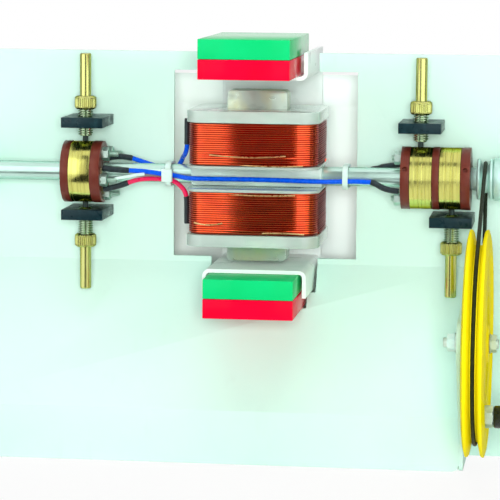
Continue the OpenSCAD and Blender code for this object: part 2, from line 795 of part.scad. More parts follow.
module former() {
  difference() {
    union() {
      translate([0, 0, former_in]) linear_extrude(inner_flange_t) rrect(former_w, former_d, former_r);
      translate([0, 0, former_top - flange_t]) linear_extrude(flange_t)
        rrect(former_w, former_d, former_r);
      box(-core_w / 2 - core_gap - former_wall, core_w / 2 + core_gap + former_wall,
        -core_d / 2 - core_gap - former_wall, core_d / 2 + core_gap + former_wall,
        former_in, former_top);
    }
    box(-core_w / 2 - core_gap, core_w / 2 + core_gap, -core_d / 2 - core_gap,
      core_d / 2 + core_gap, former_in - 1, former_top + 1);
  }
}

module upper_former() {
  color([0.85, 0.97, 0.9, 0.35]) on_shaft() former();
}

module lower_former() {
  color([0.85, 0.97, 0.9, 0.35]) on_shaft() rotate([180, 0, 0]) former();
}

module coil_body() {
  difference() {
    translate([0, 0, coil_base + 0.2]) linear_extrude(coil_room - 0.4)
      rrect(coil_w - 2 * coil_wire_d - 2 * coil_gap, coil_d - 2 * coil_wire_d - 2 * coil_gap,
        coil_r + 0.2);
    box(-core_w / 2 - core_gap - former_wall - 0.2, core_w / 2 + core_gap + former_wall + 0.2,
      -core_d / 2 - core_gap - former_wall - 0.2, core_d / 2 + core_gap + former_wall + 0.2,
      0, former_top);
  }
}

module upper_coil_body() {
  color([0.62, 0.2, 0.1]) on_shaft() coil_body();
}

module lower_coil_body() {
  color([0.62, 0.2, 0.1]) on_shaft() rotate([180, 0, 0]) coil_body();
}

module upper_winding() {
  color([0.85, 0.36, 0.16]) on_shaft()
    path_tube(coil_path(), coil_wire_d, coil_sides, [0, 0, 1]);
}

module lower_winding() {
  color([0.85, 0.36, 0.16]) on_shaft() rotate([180, 0, 0])
    path_tube(coil_path(), coil_wire_d, coil_sides, [0, 0, 1]);
}

// ================= commutator and slip rings =================
comm_b0 = -comm_x + comm_flange_l;
comm_b1 = comm_b0 + comm_brass;
comm_x1 = comm_b1 + comm_flange_r;
ring_a0 = slip_x + slip_flange_l;
ring_a1 = ring_a0 + slip_ring_a;
ring_b0 = ring_a1 + slip_mid;
ring_b1 = ring_b0 + slip_ring_b;

module stud_holes(x0, x1, angles) {
  for (a = angles) {
    translate([0, stud_ring * cos(a), stud_ring * sin(a)]) xrod(x0, x1, stud_d + 2 * run_gap);
  }
}

module commutator_hub() {
  color([0.45, 0.2, 0.14]) on_shaft() difference() {
    union() {
      xrod(-comm_x, comm_b0, drum_d);
      xrod(comm_b0 - 1, comm_b1 + 1, hub_d);
      xrod(comm_b1, comm_x1, drum_d);
    }
    xrod(-comm_x - 1, comm_x1 + 1, shaft_d + 2 * run_gap);
    stud_holes(comm_x1 - stud_in, comm_x1 + 1, comm_stud_angles);
  }
}

// Half of the split brass sleeve, on the side that side points to
module segment(side) {
  color([0.85, 0.76, 0.4]) on_shaft() difference() {
    xrod(comm_b0 + ring_gap, comm_b1 - ring_gap, ring_d);
    xrod(comm_b0 - 1, comm_b1 + 1, hub_d + 2 * ring_gap);
    translate([0, side * (drum_d - comm_split) / 2, 0])
      box(comm_b0 - 1, comm_b1 + 1, -drum_d / 2, drum_d / 2, -drum_d, drum_d);
  }
}

module segment_front() { segment(1); }
module segment_back() { segment(-1); }

module slip_ring_hub() {
  color([0.45, 0.2, 0.14]) on_shaft() difference() {
    union() {
      xrod(slip_x, ring_a0, drum_d);
      xrod(ring_a0 - 1, ring_b1 + 1, hub_d);
      xrod(ring_a1, ring_b0, drum_d);
      xrod(ring_b1, drum_end_x, drum_d);
    }
    xrod(slip_x - 1, drum_end_x + 1, shaft_d + 2 * run_gap);
    stud_holes(slip_x - 1, slip_x + stud_in, slip_stud_angles);
    for (x = [slip_x + slip_flange_l / 2, drum_end_x - slip_flange_r / 2]) {
      translate([x, 0, 0]) rotate([-21, 0, 0]) yrod(-drum_d, -drum_d / 2 + 3, 2.6);
    }
  }
}

module slip_ring(x0, x1) {
  color([0.85, 0.76, 0.4]) on_shaft() difference() {
    xrod(x0 + ring_gap, x1 - ring_gap, ring_d);
    xrod(x0, x1, hub_d + 2 * ring_gap);
  }
}

module slip_ring_left() { slip_ring(ring_a0, ring_a1); }
module slip_ring_right() { slip_ring(ring_b0, ring_b1); }

module terminal_studs() {
  color([0.8, 0.8, 0.78]) on_shaft() {
    for (a = comm_stud_angles) {
      translate([0, stud_ring * cos(a), stud_ring * sin(a)])
        xrod(comm_x1 - stud_in, comm_x1 + stud_out, stud_d);
    }
    for (a = slip_stud_angles) {
      translate([0, stud_ring * cos(a), stud_ring * sin(a)])
        xrod(slip_x - stud_nut_t - lug_t - 1.6, slip_x + stud_in, stud_d);
    }
  }
}

// A ring lug against the drum, and the nut that holds it
module nut_set() {
  difference() {
    union() {
      xrod(0, lug_t, stud_nut_af + 0.4);
      xhex(lug_t, lug_t + stud_nut_t, stud_nut_af);
    }
    xrod(-1, 9, stud_d + 2 * run_gap);
  }
}

// The tongue of a ring lug, from a stud towards the start of its sleeve
module lug(x, angle, to) {
  y = stud_ring * cos(angle);
  z = stud_ring * sin(angle);
  reach = norm([to[1] - y, to[2] - z]);
  translate([x, y, z]) rotate([atan2(to[2] - z, to[1] - y), 0, 0])
    box(0, lug_t, stud_nut_af / 2, reach - sleeve_d / 2 - 0.1, -1.3, 1.3);
}

module terminal_nuts() {
  color([0.8, 0.8, 0.78]) on_shaft() {
    lug(comm_x1, comm_stud_angles[0], sleeve_blue_a[0]);
    lug(comm_x1, comm_stud_angles[1], sleeve_blue_b[0]);
    lug(comm_x1, comm_stud_angles[2], sleeve_red[0]);
    for (a = comm_stud_angles) {
      translate([comm_x1, stud_ring * cos(a), stud_ring * sin(a)]) nut_set();
    }
    for (a = slip_stud_angles) {
      translate([slip_x, stud_ring * cos(a), stud_ring * sin(a)]) mirror([1, 0, 0]) nut_set();
    }
  }
}

// ================= wires on the rotor =================
// Routes are in X, Y and Z from the rotor centre
sleeve_blue_a = [[-82.4, 1.2, 7], [-79.5, 0.7, 7.7], [-74.5, 1, 8.2], [-68.6, 2.4, 7.3]];
blue_a = [[-68.6, 2.4, 7.3], [-62, 5, 4.9], [-56, 6.3, 3], [-50, 6.7, 1.7], [-45.2, 6.6, 2.4],
  [-42.6, 5.2, 5.6], [-41, 1.6, 8.4], [-39, -4.4, 10.6], [-37.8, -7.2, 12.9],
  [-37.3, -7.9, 16.2]];
sleeve_blue_up = [[-37.3, -7.9, 16.2], [-37.2, -8, 19], [-37.2, -8, 30]];
sleeve_blue_b = [[-82.4, -9.6, 2.8], [-78.6, -9.6, 2.3], [-74, -9.2, 2], [-68.4, -8.6, 1.7]];
blue_b = [[-68.4, -8.6, 1.7], [-62, -8.4, 1.5], [-56, -7.9, 0.9], [-50, -7.3, 0], [-44, -8.2, -0.5],
  [-36, -12.2, -1.4], [-24, -13.8, -1.4], [0, -14, -1.3], [24, -13.8, -1.6],
  [36, -12.2, -1.9], [44, -8.4, -2], [50, -7, -2], [55, -7, -2], [60.5, -7.2, -2.2]];
sleeve_slip_low = [[60.5, -7.2, -2.2], [62.8, -7.3, -2.9], [67, -7.5, -5], [71, -7.7, -6.1],
  [75.4, -7.8, -6.6]];
sleeve_red = [[-82.4, -7.9, -8.6], [-79.6, -7.9, -8.2], [-74.6, -7.9, -6.9], [-69, -7.6, -4.9]];
red_a = [[-69, -7.6, -4.9], [-65, -7.4, -3.6], [-60, -7, -2.8], [-55, -6.5, -2.7], [-50, -6.1, -2.9],
  [-45.6, -6, -3.5], [-42.2, -6.6, -5.2], [-39, -7.6, -8.2], [-37.5, -8, -11.6]];
sleeve_red_down = [[-37.5, -8, -11.6], [-37.2, -8, -14.5], [-37.2, -8, -26]];
sleeve_slip_up = [[59.5, 6.8, 3.2], [63, 6.8, 4], [67, 6.8, 5.1], [75.4, 6.8, 6.4]];
blue_c = [[36.6, 6.8, 1.5], [44, 6.8, 1.5], [50, 6.8, 1.6], [55, 6.8, 2.2], [59.5, 6.8, 3.2]];

// A wire's ends stop just short of the sleeves that they meet
function short_ends(c, first, last) = let (n = len(c) - 1) [for (i = [0:n])
  i == 0 ? c[0] + first * unit(c[1] - c[0])
  : i == n ? c[n] + last * unit(c[n - 1] - c[n])
  : c[i]];

module blue_wires() {
  color([0.05, 0.28, 0.92]) on_shaft() {
    path_tube(smooth_path(short_ends(blue_a, end_gap, end_gap), 4), wire_d, 10, [0, 1, 0.2]);
    path_tube(smooth_path(short_ends(blue_b, end_gap, end_gap), 3), wire_d, 10, [0, 1, 0.2]);
    path_tube(smooth_path(short_ends(blue_c, 0, end_gap), 2), wire_d, 10, [0, 1, 0.2]);
  }
}

module red_wire() {
  color([0.86, 0.08, 0.2]) on_shaft()
    path_tube(smooth_path(short_ends(red_a, end_gap, end_gap), 4), wire_d, 10, [0, 1, 0.2]);
}

module wire_sleeves() {
  color([0.06, 0.06, 0.07]) on_shaft() {
    for (p = [sleeve_blue_a, sleeve_blue_up, sleeve_blue_b, sleeve_slip_low, sleeve_red,
      sleeve_red_down, sleeve_slip_up]) {
      path_tube(smooth_path(p, 4), sleeve_d, 10, [0, 1, 0.2]);
    }
  }
}

// A band round the shaft and its wires, with its head in front or behind
module tie_at(x, head) {
  mid_y = (tie_back - tie_front) / 2;
  in_w = tie_back + tie_front;
  yz_plate(x - tie_w / 2, x + tie_w / 2) difference() {
    translate([mid_y, 0]) rrect(in_w + 2 * tie_t, 2 * tie_top + 2 * tie_t, 4 + tie_t);
    translate([mid_y, 0]) rrect(in_w, 2 * tie_top, 4);
  }
  translate([0, mid_y, 0]) mirror([0, head > 0 ? 1 : 0, 0])
    box(x - tie_head_w / 2, x + tie_head_w / 2, -in_w / 2 - tie_t - tie_head_d,
      -in_w / 2 - tie_t + 0.3, -tie_head_h / 2 - 0.2, tie_head_h / 2 - 0.2);
}

module cable_ties() {
  color([0.95, 0.97, 0.96]) on_shaft() {
    tie_at(-tie_left_x, -1);
    tie_at(tie_right_x, 1);
  }
}

// ================= belt drive =================
// Groove walls stand clear of the belt by belt_gap
module small_pulley() {
  r = small_d / 2;
  g = small_belt_r - belt_d / 2 - belt_gap;
  color([0.72, 0.74, 0.75]) on_shaft() translate([drum_end_x, 0, 0]) rotate([0, 90, 0])
    rotate_extrude() polygon([
      [shaft_d / 2 + run_gap, 0.1],
      [small_hub_d / 2, 0.1],
      [small_hub_d / 2, small_hub],
      [r - 0.6, small_hub],
      [r, small_hub + 0.6],
      [r, small_hub + 1.4],
      [g, small_hub + small_w / 2 - 1.55],
      [g, small_hub + small_w / 2 + 1.55],
      [r, small_hub + small_w - 1.4],
      [r, small_hub + small_w - 0.6],
      [r - 0.6, small_hub + small_w],
      [r - 1.6, small_hub + small_w],
      [r - 1.6, small_hub + small_w + 0.4],
      [tail_d / 2, small_hub + small_w + 0.4],
      [tail_d / 2, small_hub + small_w + 0.4 + tail_l],
      [shaft_d / 2 + run_gap, small_hub + small_w + 0.4 + tail_l]]);
}

module wheel() {
  r = wheel_d / 2;
  g = wheel_belt_r - belt_d / 2 - belt_gap;
  color([0.98, 0.93, 0.12]) on_axle() difference() {
    translate([wheel_x, 0, 0]) rotate([0, 90, 0]) rotate_extrude($fn = 120) polygon([
      [wheel_bush_d / 2 + run_gap, 0],
      [boss_d / 2, 0],
      [boss_d / 2 + 0.8, web_recess],
      [g - 3.4, web_recess],
      [g - 2, 0],
      [r - 4, 0.1],
      [r - 1, 1],
      [r, 2],
      [r - 0.2, 2.8],
      [g, wheel_w / 2 - 1.55],
      [g, wheel_w / 2 + 1.55],
      [r - 0.2, wheel_w - 2.8],
      [r, wheel_w - 2],
      [r - 1, wheel_w - 1],
      [r - 4, wheel_w - 0.1],
      [g - 2, wheel_w],
      [g - 3.4, wheel_w - web_recess],
      [boss_d / 2 + 0.8, wheel_w - web_recess],
      [boss_d / 2, wheel_w],
      [wheel_bush_d / 2 + run_gap, wheel_w]]);
    translate([0, pin_y - ax_y, pin_z - ax_z])
      xrod(wheel_x - 1, wheel_x1 + 1, crank_pin_d + 2 * run_gap);
  }
}

module wheel_bush() {
  color([0.82, 0.68, 0.36]) on_axle() difference() {
    xrod(wheel_x - 0.1, wheel_x1 + 0.2, wheel_bush_d);
    xrod(wheel_x - 1, wheel_x1 + 1, axle_d + 2 * run_gap);
  }
}

// The belt's centre line: an arc round each groove, joined by straight runs
span = norm([ax_y, ax_z - H]);
open_angle = asin((wheel_belt_r - small_belt_r) / span);
line_angle = atan2(ax_z - H, ax_y);
wheel_arc = 180 + 2 * open_angle;
small_arc = 180 - 2 * open_angle;

function belt_path() = concat(
  [for (i = [0:40]) let (a = line_angle - wheel_arc / 2 + wheel_arc * i / 40)
    [belt_x, ax_y + wheel_belt_r * cos(a), ax_z + wheel_belt_r * sin(a)]],
  [for (i = [0:12]) let (a = line_angle + wheel_arc / 2 + small_arc * i / 12)
    [belt_x, small_belt_r * cos(a), H + small_belt_r * sin(a)]]);

function loop_tangent(p, i) = unit(p[(i + 1) % len(p)] - p[(i + len(p) - 1) % len(p)]);
function loop_points(p, r, sides) = [for (i = [0:len(p) - 1])
  let (t = loop_tangent(p, i), b = cross([1, 0, 0], t))
  each [for (k = [0:sides - 1])
    p[i] + r * (cos(360 * k / sides) * [1, 0, 0] + sin(360 * k / sides) * b)]];
function loop_faces(n, s) = concat(
  [for (i = [0:n - 1]) for (k = [0:s - 1])
    [i * s + k, ((i + 1) % n) * s + k, i * s + (k + 1) % s]],
  [for (i = [0:n - 1]) for (k = [0:s - 1])
    [i * s + (k + 1) % s, ((i + 1) % n) * s + k, ((i + 1) % n) * s + (k + 1) % s]]);

module belt() {
  p = belt_path();
  color([0.08, 0.09, 0.09])
    polyhedron(points = loop_points(p, belt_d / 2, 12), faces = loop_faces(len(p), 12));
}

// A washer of soft plastic keeps the wheel off its bracket
module wheel_spacer() {
  color([0.95, 0.96, 0.95]) on_axle() difference() {
    xrod(ear_x + ear_t, wheel_x - 0.2, 11);
    xrod(ear_x, wheel_x + 1, axle_d + 2 * run_gap);
  }
}

module axle_bolt() {
  color([0.8, 0.81, 0.8]) on_axle() {
    xrod(ear_x - nut_t - 3, wheel_x1 + 2, axle_d);
    xrod(wheel_x1 + 0.3, wheel_x1 + 0.9, 10);
    xhex(wheel_x1 + 0.9, wheel_x1 + 3.9, 8);
    difference() {
      union() {
        xhex(ear_x - nut_t - 1, ear_x - 1, 8);
        xrod(ear_x - 1, ear_x, 10);
      }
      xrod(ear_x - nut_t - 4, ear_x + 1, axle_d - 0.02);
    }
  }
}

// The crank pin is a screw with a nut against the wheel's web
module crank_bolt() {
  color([0.8, 0.81, 0.8]) translate([0, pin_y, pin_z]) {
    xrod(wheel_x - 0.5, handle_x + handle_l - 5, crank_pin_d);
    xrod(handle_x + handle_l - 5, handle_x + handle_l - 3, crank_pin_d + 2.4);
    xhex(web_x1, web_x1 + crank_nut_t, crank_nut_af);
  }
}

module handle() {
  color([0.08, 0.11, 0.12]) translate([handle_x, pin_y, pin_z]) rotate([0, 90, 0]) difference() {
    rotate_extrude() polygon(concat(
      [[0, 0], [handle_d / 2 - 0.8, 0], [handle_d / 2, 0.8]],
      [for (a = [0:15:75]) [handle_d / 2 - 3 + 3 * cos(a), handle_l - 3 + 3 * sin(a)]],
      [[handle_d / 2 - 3, handle_l], [0, handle_l]]));
    translate([0, 0, -1]) cylinder(h = handle_l - 5 + 1.5, d = crank_pin_d + 2 * run_gap);
    translate([0, 0, handle_l - 5.6]) cylinder(h = 3, d = crank_pin_d + 2.6);
  }
}

front_sheet();
wheel_bracket();
base_plate();
rear_cover();
stand_screws();
yoke();
yoke_spacers();
left_bracket();
right_bracket();
left_bush();
right_bush();
block_top_left();
block_bottom_left();
block_top_right();
block_bottom_right();
tube_top_left();
tube_bottom_left();
tube_top_right();
tube_bottom_right();
brush_top_left();
brush_bottom_left();
brush_top_right();
brush_bottom_right();
cap_top_left();
cap_bottom_left();
cap_top_right();
cap_bottom_right();
top_magnet_green();
top_magnet_red();
bottom_magnet_green();
bottom_magnet_red();
shaft();
iron_core();
centre_block();
upper_former();
lower_former();
upper_coil_body();
lower_coil_body();
upper_winding();
lower_winding();
commutator_hub();
segment_front();
segment_back();
slip_ring_hub();
slip_ring_left();
slip_ring_right();
terminal_studs();
terminal_nuts();
blue_wires();
red_wire();
wire_sleeves();
cable_ties();
small_pulley();
belt();
wheel();
wheel_bush();
wheel_spacer();
axle_bolt();
crank_bolt();
handle();
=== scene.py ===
# %% [markdown]
# # A hand-cranked demonstration motor
# The imported model already knows where each part sits and how it moves. This
# file gives the parts their finishes, and swaps the plain solids for shapes
# with real edges, threads, knurls and windings. We load the imported model
# first. The dressed motor has to stay inside it.

import json
import math

import bmesh
import bpy
import numpy as np
from mathutils import Matrix, Vector


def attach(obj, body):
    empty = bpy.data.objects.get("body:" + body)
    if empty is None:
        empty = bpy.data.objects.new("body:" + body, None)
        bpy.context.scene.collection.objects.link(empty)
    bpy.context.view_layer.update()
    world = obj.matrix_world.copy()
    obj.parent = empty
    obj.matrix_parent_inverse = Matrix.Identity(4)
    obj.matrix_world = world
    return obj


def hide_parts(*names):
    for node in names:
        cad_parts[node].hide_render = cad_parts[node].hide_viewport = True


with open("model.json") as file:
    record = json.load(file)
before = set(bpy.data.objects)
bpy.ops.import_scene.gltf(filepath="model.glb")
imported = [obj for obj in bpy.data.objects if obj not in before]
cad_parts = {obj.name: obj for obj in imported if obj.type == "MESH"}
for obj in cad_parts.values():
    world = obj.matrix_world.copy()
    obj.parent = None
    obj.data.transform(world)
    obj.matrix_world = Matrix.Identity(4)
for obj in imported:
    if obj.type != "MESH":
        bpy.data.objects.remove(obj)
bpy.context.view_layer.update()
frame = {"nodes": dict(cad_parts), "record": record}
nodes = frame["nodes"]
body_of_node = {
    node: body
    for body, members in frame["record"]["behaviour"]["bodies"].items()
    for node in members
}
slot_of_node = {node: nodes[node].material_slots[0].material.name for node in nodes}

# %% [markdown]
# ## The camera
# The picture was taken with a long lens from about 1.4 m, a little to the
# right and a little above. The straight edges of the panel and the magnets
# give the three angles, and the lens follows from how fast edges that run
# away from us draw together. We build the camera's axes from those angles.

# %% Camera
LENS_IN_PICTURE_WIDTHS = 2659.27 / 500
SENSOR_MM = 36.0
TURN, PITCH, ROLL = 0.130987, 0.122378, 0.0075505
CAMERA_AT = (0.17977, -1.39731, 0.28487)


def camera_axes(turn, pitch, roll):
    flat = math.cos(pitch)
    forward = Vector((-math.sin(turn) * flat, math.cos(turn) * flat, -math.sin(pitch)))
    level = Vector((math.cos(turn), math.sin(turn), 0.0))
    upright = level.cross(forward)
    right = level * math.cos(roll) + upright * math.sin(roll)
    up = upright * math.cos(roll) - level * math.sin(roll)
    return Matrix((right, up, -forward)).transposed().to_4x4()


lens = bpy.data.cameras.new("bench_camera")
lens.sensor_width = SENSOR_MM
lens.lens = LENS_IN_PICTURE_WIDTHS * SENSOR_MM
lens.clip_start, lens.clip_end = 0.05, 30.0
camera = bpy.data.objects.new("bench_camera", lens)
camera.matrix_world = Matrix.Translation(CAMERA_AT) @ camera_axes(TURN, PITCH, ROLL)
bpy.context.scene.collection.objects.link(camera)
bpy.context.scene.camera = camera
bpy.context.scene.view_settings.view_transform = "Standard"
print("lens", round(lens.lens, 1), "mm")

# %% [markdown]
# ## Bench, backdrop and light
# The motor stands on a plain white bench in a white room. A room could be
# modelled, but a world colour does the same: what the camera, a mirror or
# glass sees is white, and the light on the parts is set apart from it.

# %% World and bench
WHITE = (1, 1, 1, 1)
ROOM_TINT = (0.93, 1.0, 0.98, 1)
WHITE_SEEN, WORLD_LIGHT = 1.0, 0.13
BENCH_GLOW = 0.9


def seen_ray(tree):
    """1 for rays from the camera, off metal or through glass, else 0."""
    path = tree.nodes.new("ShaderNodeLightPath")
    sums = path.outputs["Is Camera Ray"]
    for ray in ("Is Glossy Ray", "Is Transmission Ray"):
        step = tree.nodes.new("ShaderNodeMath")
        step.operation = "MAXIMUM"
        tree.links.new(sums, step.inputs[0])
        tree.links.new(path.outputs[ray], step.inputs[1])
        sums = step.outputs[0]
    return sums


def shown_when_seen(tree, lit, seen, share, output):
    """Mixes in the shader for seeing rays, and keeps the lit one for light."""
    part = tree.nodes.new("ShaderNodeMath")
    part.operation = "MULTIPLY"
    part.inputs[1].default_value = share
    mix = tree.nodes.new("ShaderNodeMixShader")
    tree.links.new(seen_ray(tree), part.inputs[0])
    tree.links.new(part.outputs[0], mix.inputs["Fac"])
    tree.links.new(lit.outputs[0], mix.inputs[1])
    tree.links.new(seen.outputs[0], mix.inputs[2])
    tree.links.new(mix.outputs[0], tree.nodes[output].inputs["Surface"])


def room_light():
    world = bpy.data.worlds.new("white_room")
    world.use_nodes = True
    bpy.context.scene.world = world
    tree = world.node_tree
    light = tree.nodes["Background"]
    light.inputs["Color"].default_value = ROOM_TINT
    light.inputs["Strength"].default_value = WORLD_LIGHT
    white = tree.nodes.new("ShaderNodeBackground")
    white.inputs["Color"].default_value = WHITE
    shown_when_seen(tree, light, white, WHITE_SEEN, "World Output")


def flat_plane(name, centre, width, height, normal):
    mesh = bpy.data.meshes.new(name)
    w, h = width / 2, height / 2
    corners = [(-w, -h, 0), (w, -h, 0), (w, h, 0), (-w, h, 0)]
    mesh.from_pydata(corners, [], [(0, 1, 2, 3)])
    plane = bpy.data.objects.new(name, mesh)
    plane.rotation_mode = "QUATERNION"
    plane.rotation_quaternion = Vector(normal).to_track_quat("Z", "Y")
    plane.location = centre
    bpy.context.scene.collection.objects.link(plane)
    return plane


def plain_paint(thing, grey, rough, gloss):
    """One even grey for what stands round the motor."""
    paint = bpy.data.materials.new(thing.name)
    paint.use_nodes = True
    shader = paint.node_tree.nodes["Principled BSDF"]
    shader.inputs["Base Color"].default_value = (grey, grey, grey, 1)
    shader.inputs["Roughness"].default_value = rough
    shader.inputs["Specular IOR Level"].default_value = gloss
    thing.data.materials.append(paint)
    return paint.node_tree, shader


def bench():
    top = flat_plane("bench_top", (0, 0, -0.0002), 8, 8, (0, 0, 1))
    tree, shader = plain_paint(top, 0.9, 0.7, 0.1)
    glow = tree.nodes.new("ShaderNodeEmission")
    glow.inputs["Color"].default_value = WHITE
    shown_when_seen(tree, shader, glow, BENCH_GLOW, "Material Output")


room_light()
bench()
print("world light", WORLD_LIGHT)

# %% [markdown]
# Five soft lamps light the parts. One big lamp would be simpler, but the
# window is deep, so the strongest stands close to the camera's line of sight
# and shines into it, and the others fill the sides, the top and the back.
# Reflections don't see the lamps; what they see comes in the next step.


# %% Lamps
def soft_lamp(name, at, aim, width, height, watts):
    light = bpy.data.lights.new(name, "AREA")
    light.shape = "RECTANGLE"
    light.size, light.size_y, light.energy = width, height, watts
    lamp = bpy.data.objects.new(name, light)
    lamp.location = at
    lamp.rotation_mode = "QUATERNION"
    toward = Vector(aim) - Vector(at)
    lamp.rotation_quaternion = toward.to_track_quat("-Z", "Y")
    lamp.visible_glossy = False
    bpy.context.scene.collection.objects.link(lamp)


# Place, the point it is aimed at, width, height, watts
LAMPS = {
    "front_lamp": ((0.25, -1.9, 0.36), (0, 0, 0.15), 0.5, 0.45, 28),
    "left_lamp": ((-1.3, -1.3, 1.4), (0, 0, 0.14), 1.2, 1.2, 4.5),
    "right_lamp": ((1.6, -0.9, 0.7), (0, 0, 0.14), 0.9, 0.9, 3),
    "top_lamp": ((0.0, -0.35, 1.7), (0, 0, 0.1), 1.2, 1.0, 11),
    "back_lamp": ((0.7, 1.9, 1.2), (0, 0, 0.14), 1.3, 1.1, 16),
}
for name, values in LAMPS.items():
    soft_lamp(name, *values)
print("lamps", len(LAMPS))

# %% [markdown]
# Polished metal shows what stands round it, and in an all-white room it
# would fade away. So cards are put up, as in a photo studio, that only
# reflections see: dark ones draw the edges of the metal, a dark one close in
# front paints a dark reflected band down the middle of the copper coils, and
# bright ones lay two bright bands on them.


# %% Studio cards
def studio_card(name, centre, width, height, normal, glow):
    """A card that only reflections see: 0 is black, 1 is as bright as paper."""
    card = flat_plane(name, centre, width, height, normal)
    card.visible_camera = card.visible_diffuse = False
    card.visible_shadow = card.visible_transmission = False
    _, shader = plain_paint(card, 0.0, 1.0, 0.0)
    shader.inputs["Emission Color"].default_value = (0.95, 1.0, 0.98, 1)
    shader.inputs["Emission Strength"].default_value = glow


# Centre, width, height, the way it faces, glow
DARK, BRIGHT = 0.02, 2.0
CARDS = {
    # A dark card close in front of the rotor: a painted dark reflection down the middle
    # of the copper coils
    "coil_card": ((-0.0155, -0.25, 0.35), 0.101, 0.75, (0, 1, 0), DARK),
    "low_card": ((-0.1, -0.95, 0.0005), 0.3, 1.5, (0, 0, 1), DARK),
    "top_card": ((-0.1, -1.3, 2.3), 0.5, 0.8, (0, 0, -1), 0.25),
    "left_card": ((-1.7, 0.7, 0.8), 2.4, 2.6, (1, 0, 0), 0.1),
    "right_card": ((1.7, 0.7, 0.8), 2.4, 2.6, (-1, 0, 0), 0.1),
    "left_glow": ((-0.92, -1.11, 0.9), 1.43, 1.8, (0.61, 0.79, 0), BRIGHT),
    "right_glow": ((0.93, -1.06, 0.9), 1.9, 1.8, (-0.56, 0.83, 0), BRIGHT),
}
for name, values in CARDS.items():
    studio_card(name, *values)
print("cards", len(CARDS))

# %% [markdown]
# ## How a finish is built
# A real finish is never one flat colour: it has grain, patches, scratches
# and rubbed edges. Each could be its own node group, but one small class
# that adds them in layers to a single shader is easier to read. Masks come
# from noise in the part's own space, so they turn with the rotor. Sizes are in
# millimetres, and colours are written as a paint chart gives them, 0 to 255.


# %% A finish, layer by layer
def light_of(shade):
    """The linear value of a display colour from 0 to 255."""
    c = shade / 255
    return c / 12.92 if c <= 0.04045 else ((c + 0.055) / 1.055) ** 2.4


def colour(rgb):
    return (*[light_of(c) for c in rgb], 1.0)


FINISHES = {}


class Finish:
    """One material: a base, then tones, roughness, relief and rubbed edges."""

    def __init__(self, name, rgb, rough, metal=0.0, **sockets):
        FINISHES[name] = self
        self.material = bpy.data.materials.new(name)
        self.material.use_nodes = True
        self.tree = self.material.node_tree
        self.shader = self.tree.nodes["Principled BSDF"]
        self.base = colour(rgb)
        self.tone_out = None
        self.relief_out = None
        self.set("Base Color", self.base)
        self.set("Roughness", rough)
        self.set("Metallic", metal)
        for socket, value in sockets.items():
            self.set(socket.replace("_", " "), value)
        self.place = self.node("ShaderNodeTexCoord").outputs["Object"]

    def set(self, socket, value):
        self.shader.inputs[socket].default_value = value

    def node(self, kind, **fields):
        made = self.tree.nodes.new(kind)
        for key, value in fields.items():
            setattr(made, key, value)
        return made

    def join(self, source, target):
        self.tree.links.new(source, target)

    def stretched(self, stretch):
        if stretch == (1, 1, 1):
            return self.place
        made = self.node("ShaderNodeMapping")
        made.inputs["Scale"].default_value = stretch
        self.join(self.place, made.inputs["Vector"])
        return made.outputs["Vector"]

    def noise(self, size_mm, detail=3.0, stretch=(1, 1, 1)):
        made = self.node("ShaderNodeTexNoise")
        made.inputs["Scale"].default_value = 1000.0 / size_mm
        made.inputs["Detail"].default_value = detail
        self.join(self.stretched(stretch), made.inputs["Vector"])
        return made.outputs["Fac"]

    def band(self, value, low, high, to_low=0.0, to_high=1.0):
        made = self.node("ShaderNodeMapRange")
        for socket, number in zip(
            ("From Min", "From Max", "To Min", "To Max"), (low, high, to_low, to_high)
        ):
            made.inputs[socket].default_value = number
        self.join(value, made.inputs["Value"])
        return made.outputs["Result"]

    def tone(self, mask, rgb):
        """Lays a colour over what is there, where the mask is 1."""
        made = self.node("ShaderNodeMix", data_type="RGBA")
        made.inputs[6].default_value = self.base
        if self.tone_out:
            self.join(self.tone_out, made.inputs[6])
        made.inputs[7].default_value = colour(rgb)
        self.join(mask, made.inputs[0])
        self.tone_out = made.outputs[2]
        self.join(self.tone_out, self.shader.inputs["Base Color"])
        return self

    def mottle(self, size_mm, rgb, low=0.45, high=0.75, stretch=(1, 1, 1), most=1.0):
        mask = self.band(self.noise(size_mm, 4.0, stretch), low, high, 0.0, most)
        return self.tone(mask, rgb)

    def roughen(self, size_mm, low, high, stretch=(1, 1, 1)):
        value = self.band(self.noise(size_mm, 4.0, stretch), 0.35, 0.65, low, high)
        self.join(value, self.shader.inputs["Roughness"])
        return self

    def relief(self, size_mm, depth_mm, stretch=(1, 1, 1), detail=2.0):
        made = self.node("ShaderNodeBump")
        made.inputs["Distance"].default_value = depth_mm / 1000
        made.inputs["Strength"].default_value = 1.0
        self.join(self.noise(size_mm, detail, stretch), made.inputs["Height"])
        if self.relief_out:
            self.join(self.relief_out, made.inputs["Normal"])
        self.relief_out = made.outputs["Normal"]
        self.join(self.relief_out, self.shader.inputs["Normal"])
        return self

    def painted_dark_rim(self, rgb):
        """Paints a dark reflection where a metal turns away, set as its edge tint, so
        that its outline stays dark.
        """
        self.set("Specular Tint", colour(rgb))
        return self

    def glancing(self, facing, edge_on):
        """A clear coat with one weight face on and another seen edge on."""
        tilt = self.node("ShaderNodeLayerWeight").outputs["Facing"]
        weight = self.band(tilt, 0.6, 0.92, facing, edge_on)
        self.join(weight, self.shader.inputs["Coat Weight"])
        return self

    def rubbed(self, width_mm, rgb, most=0.7):
        """A rubbed line along the edges, broken up by noise."""
        soft = self.node("ShaderNodeBevel", samples=4)
        soft.inputs["Radius"].default_value = width_mm / 1000
        true = self.node("ShaderNodeNewGeometry").outputs["Normal"]
        dot = self.node("ShaderNodeVectorMath", operation="DOT_PRODUCT")
        self.join(soft.outputs["Normal"], dot.inputs[0])
        self.join(true, dot.inputs[1])
        edge = self.band(dot.outputs["Value"], 0.985, 0.9)
        worn = self.band(self.noise(3.0, 4.0), 0.45, 0.7, 0.0, most)
        both = self.node("ShaderNodeMath", operation="MULTIPLY")
        self.join(edge, both.inputs[0])
        self.join(worn, both.inputs[1])
        return self.tone(both.outputs[0], rgb)


print("a finish is ready to be built")

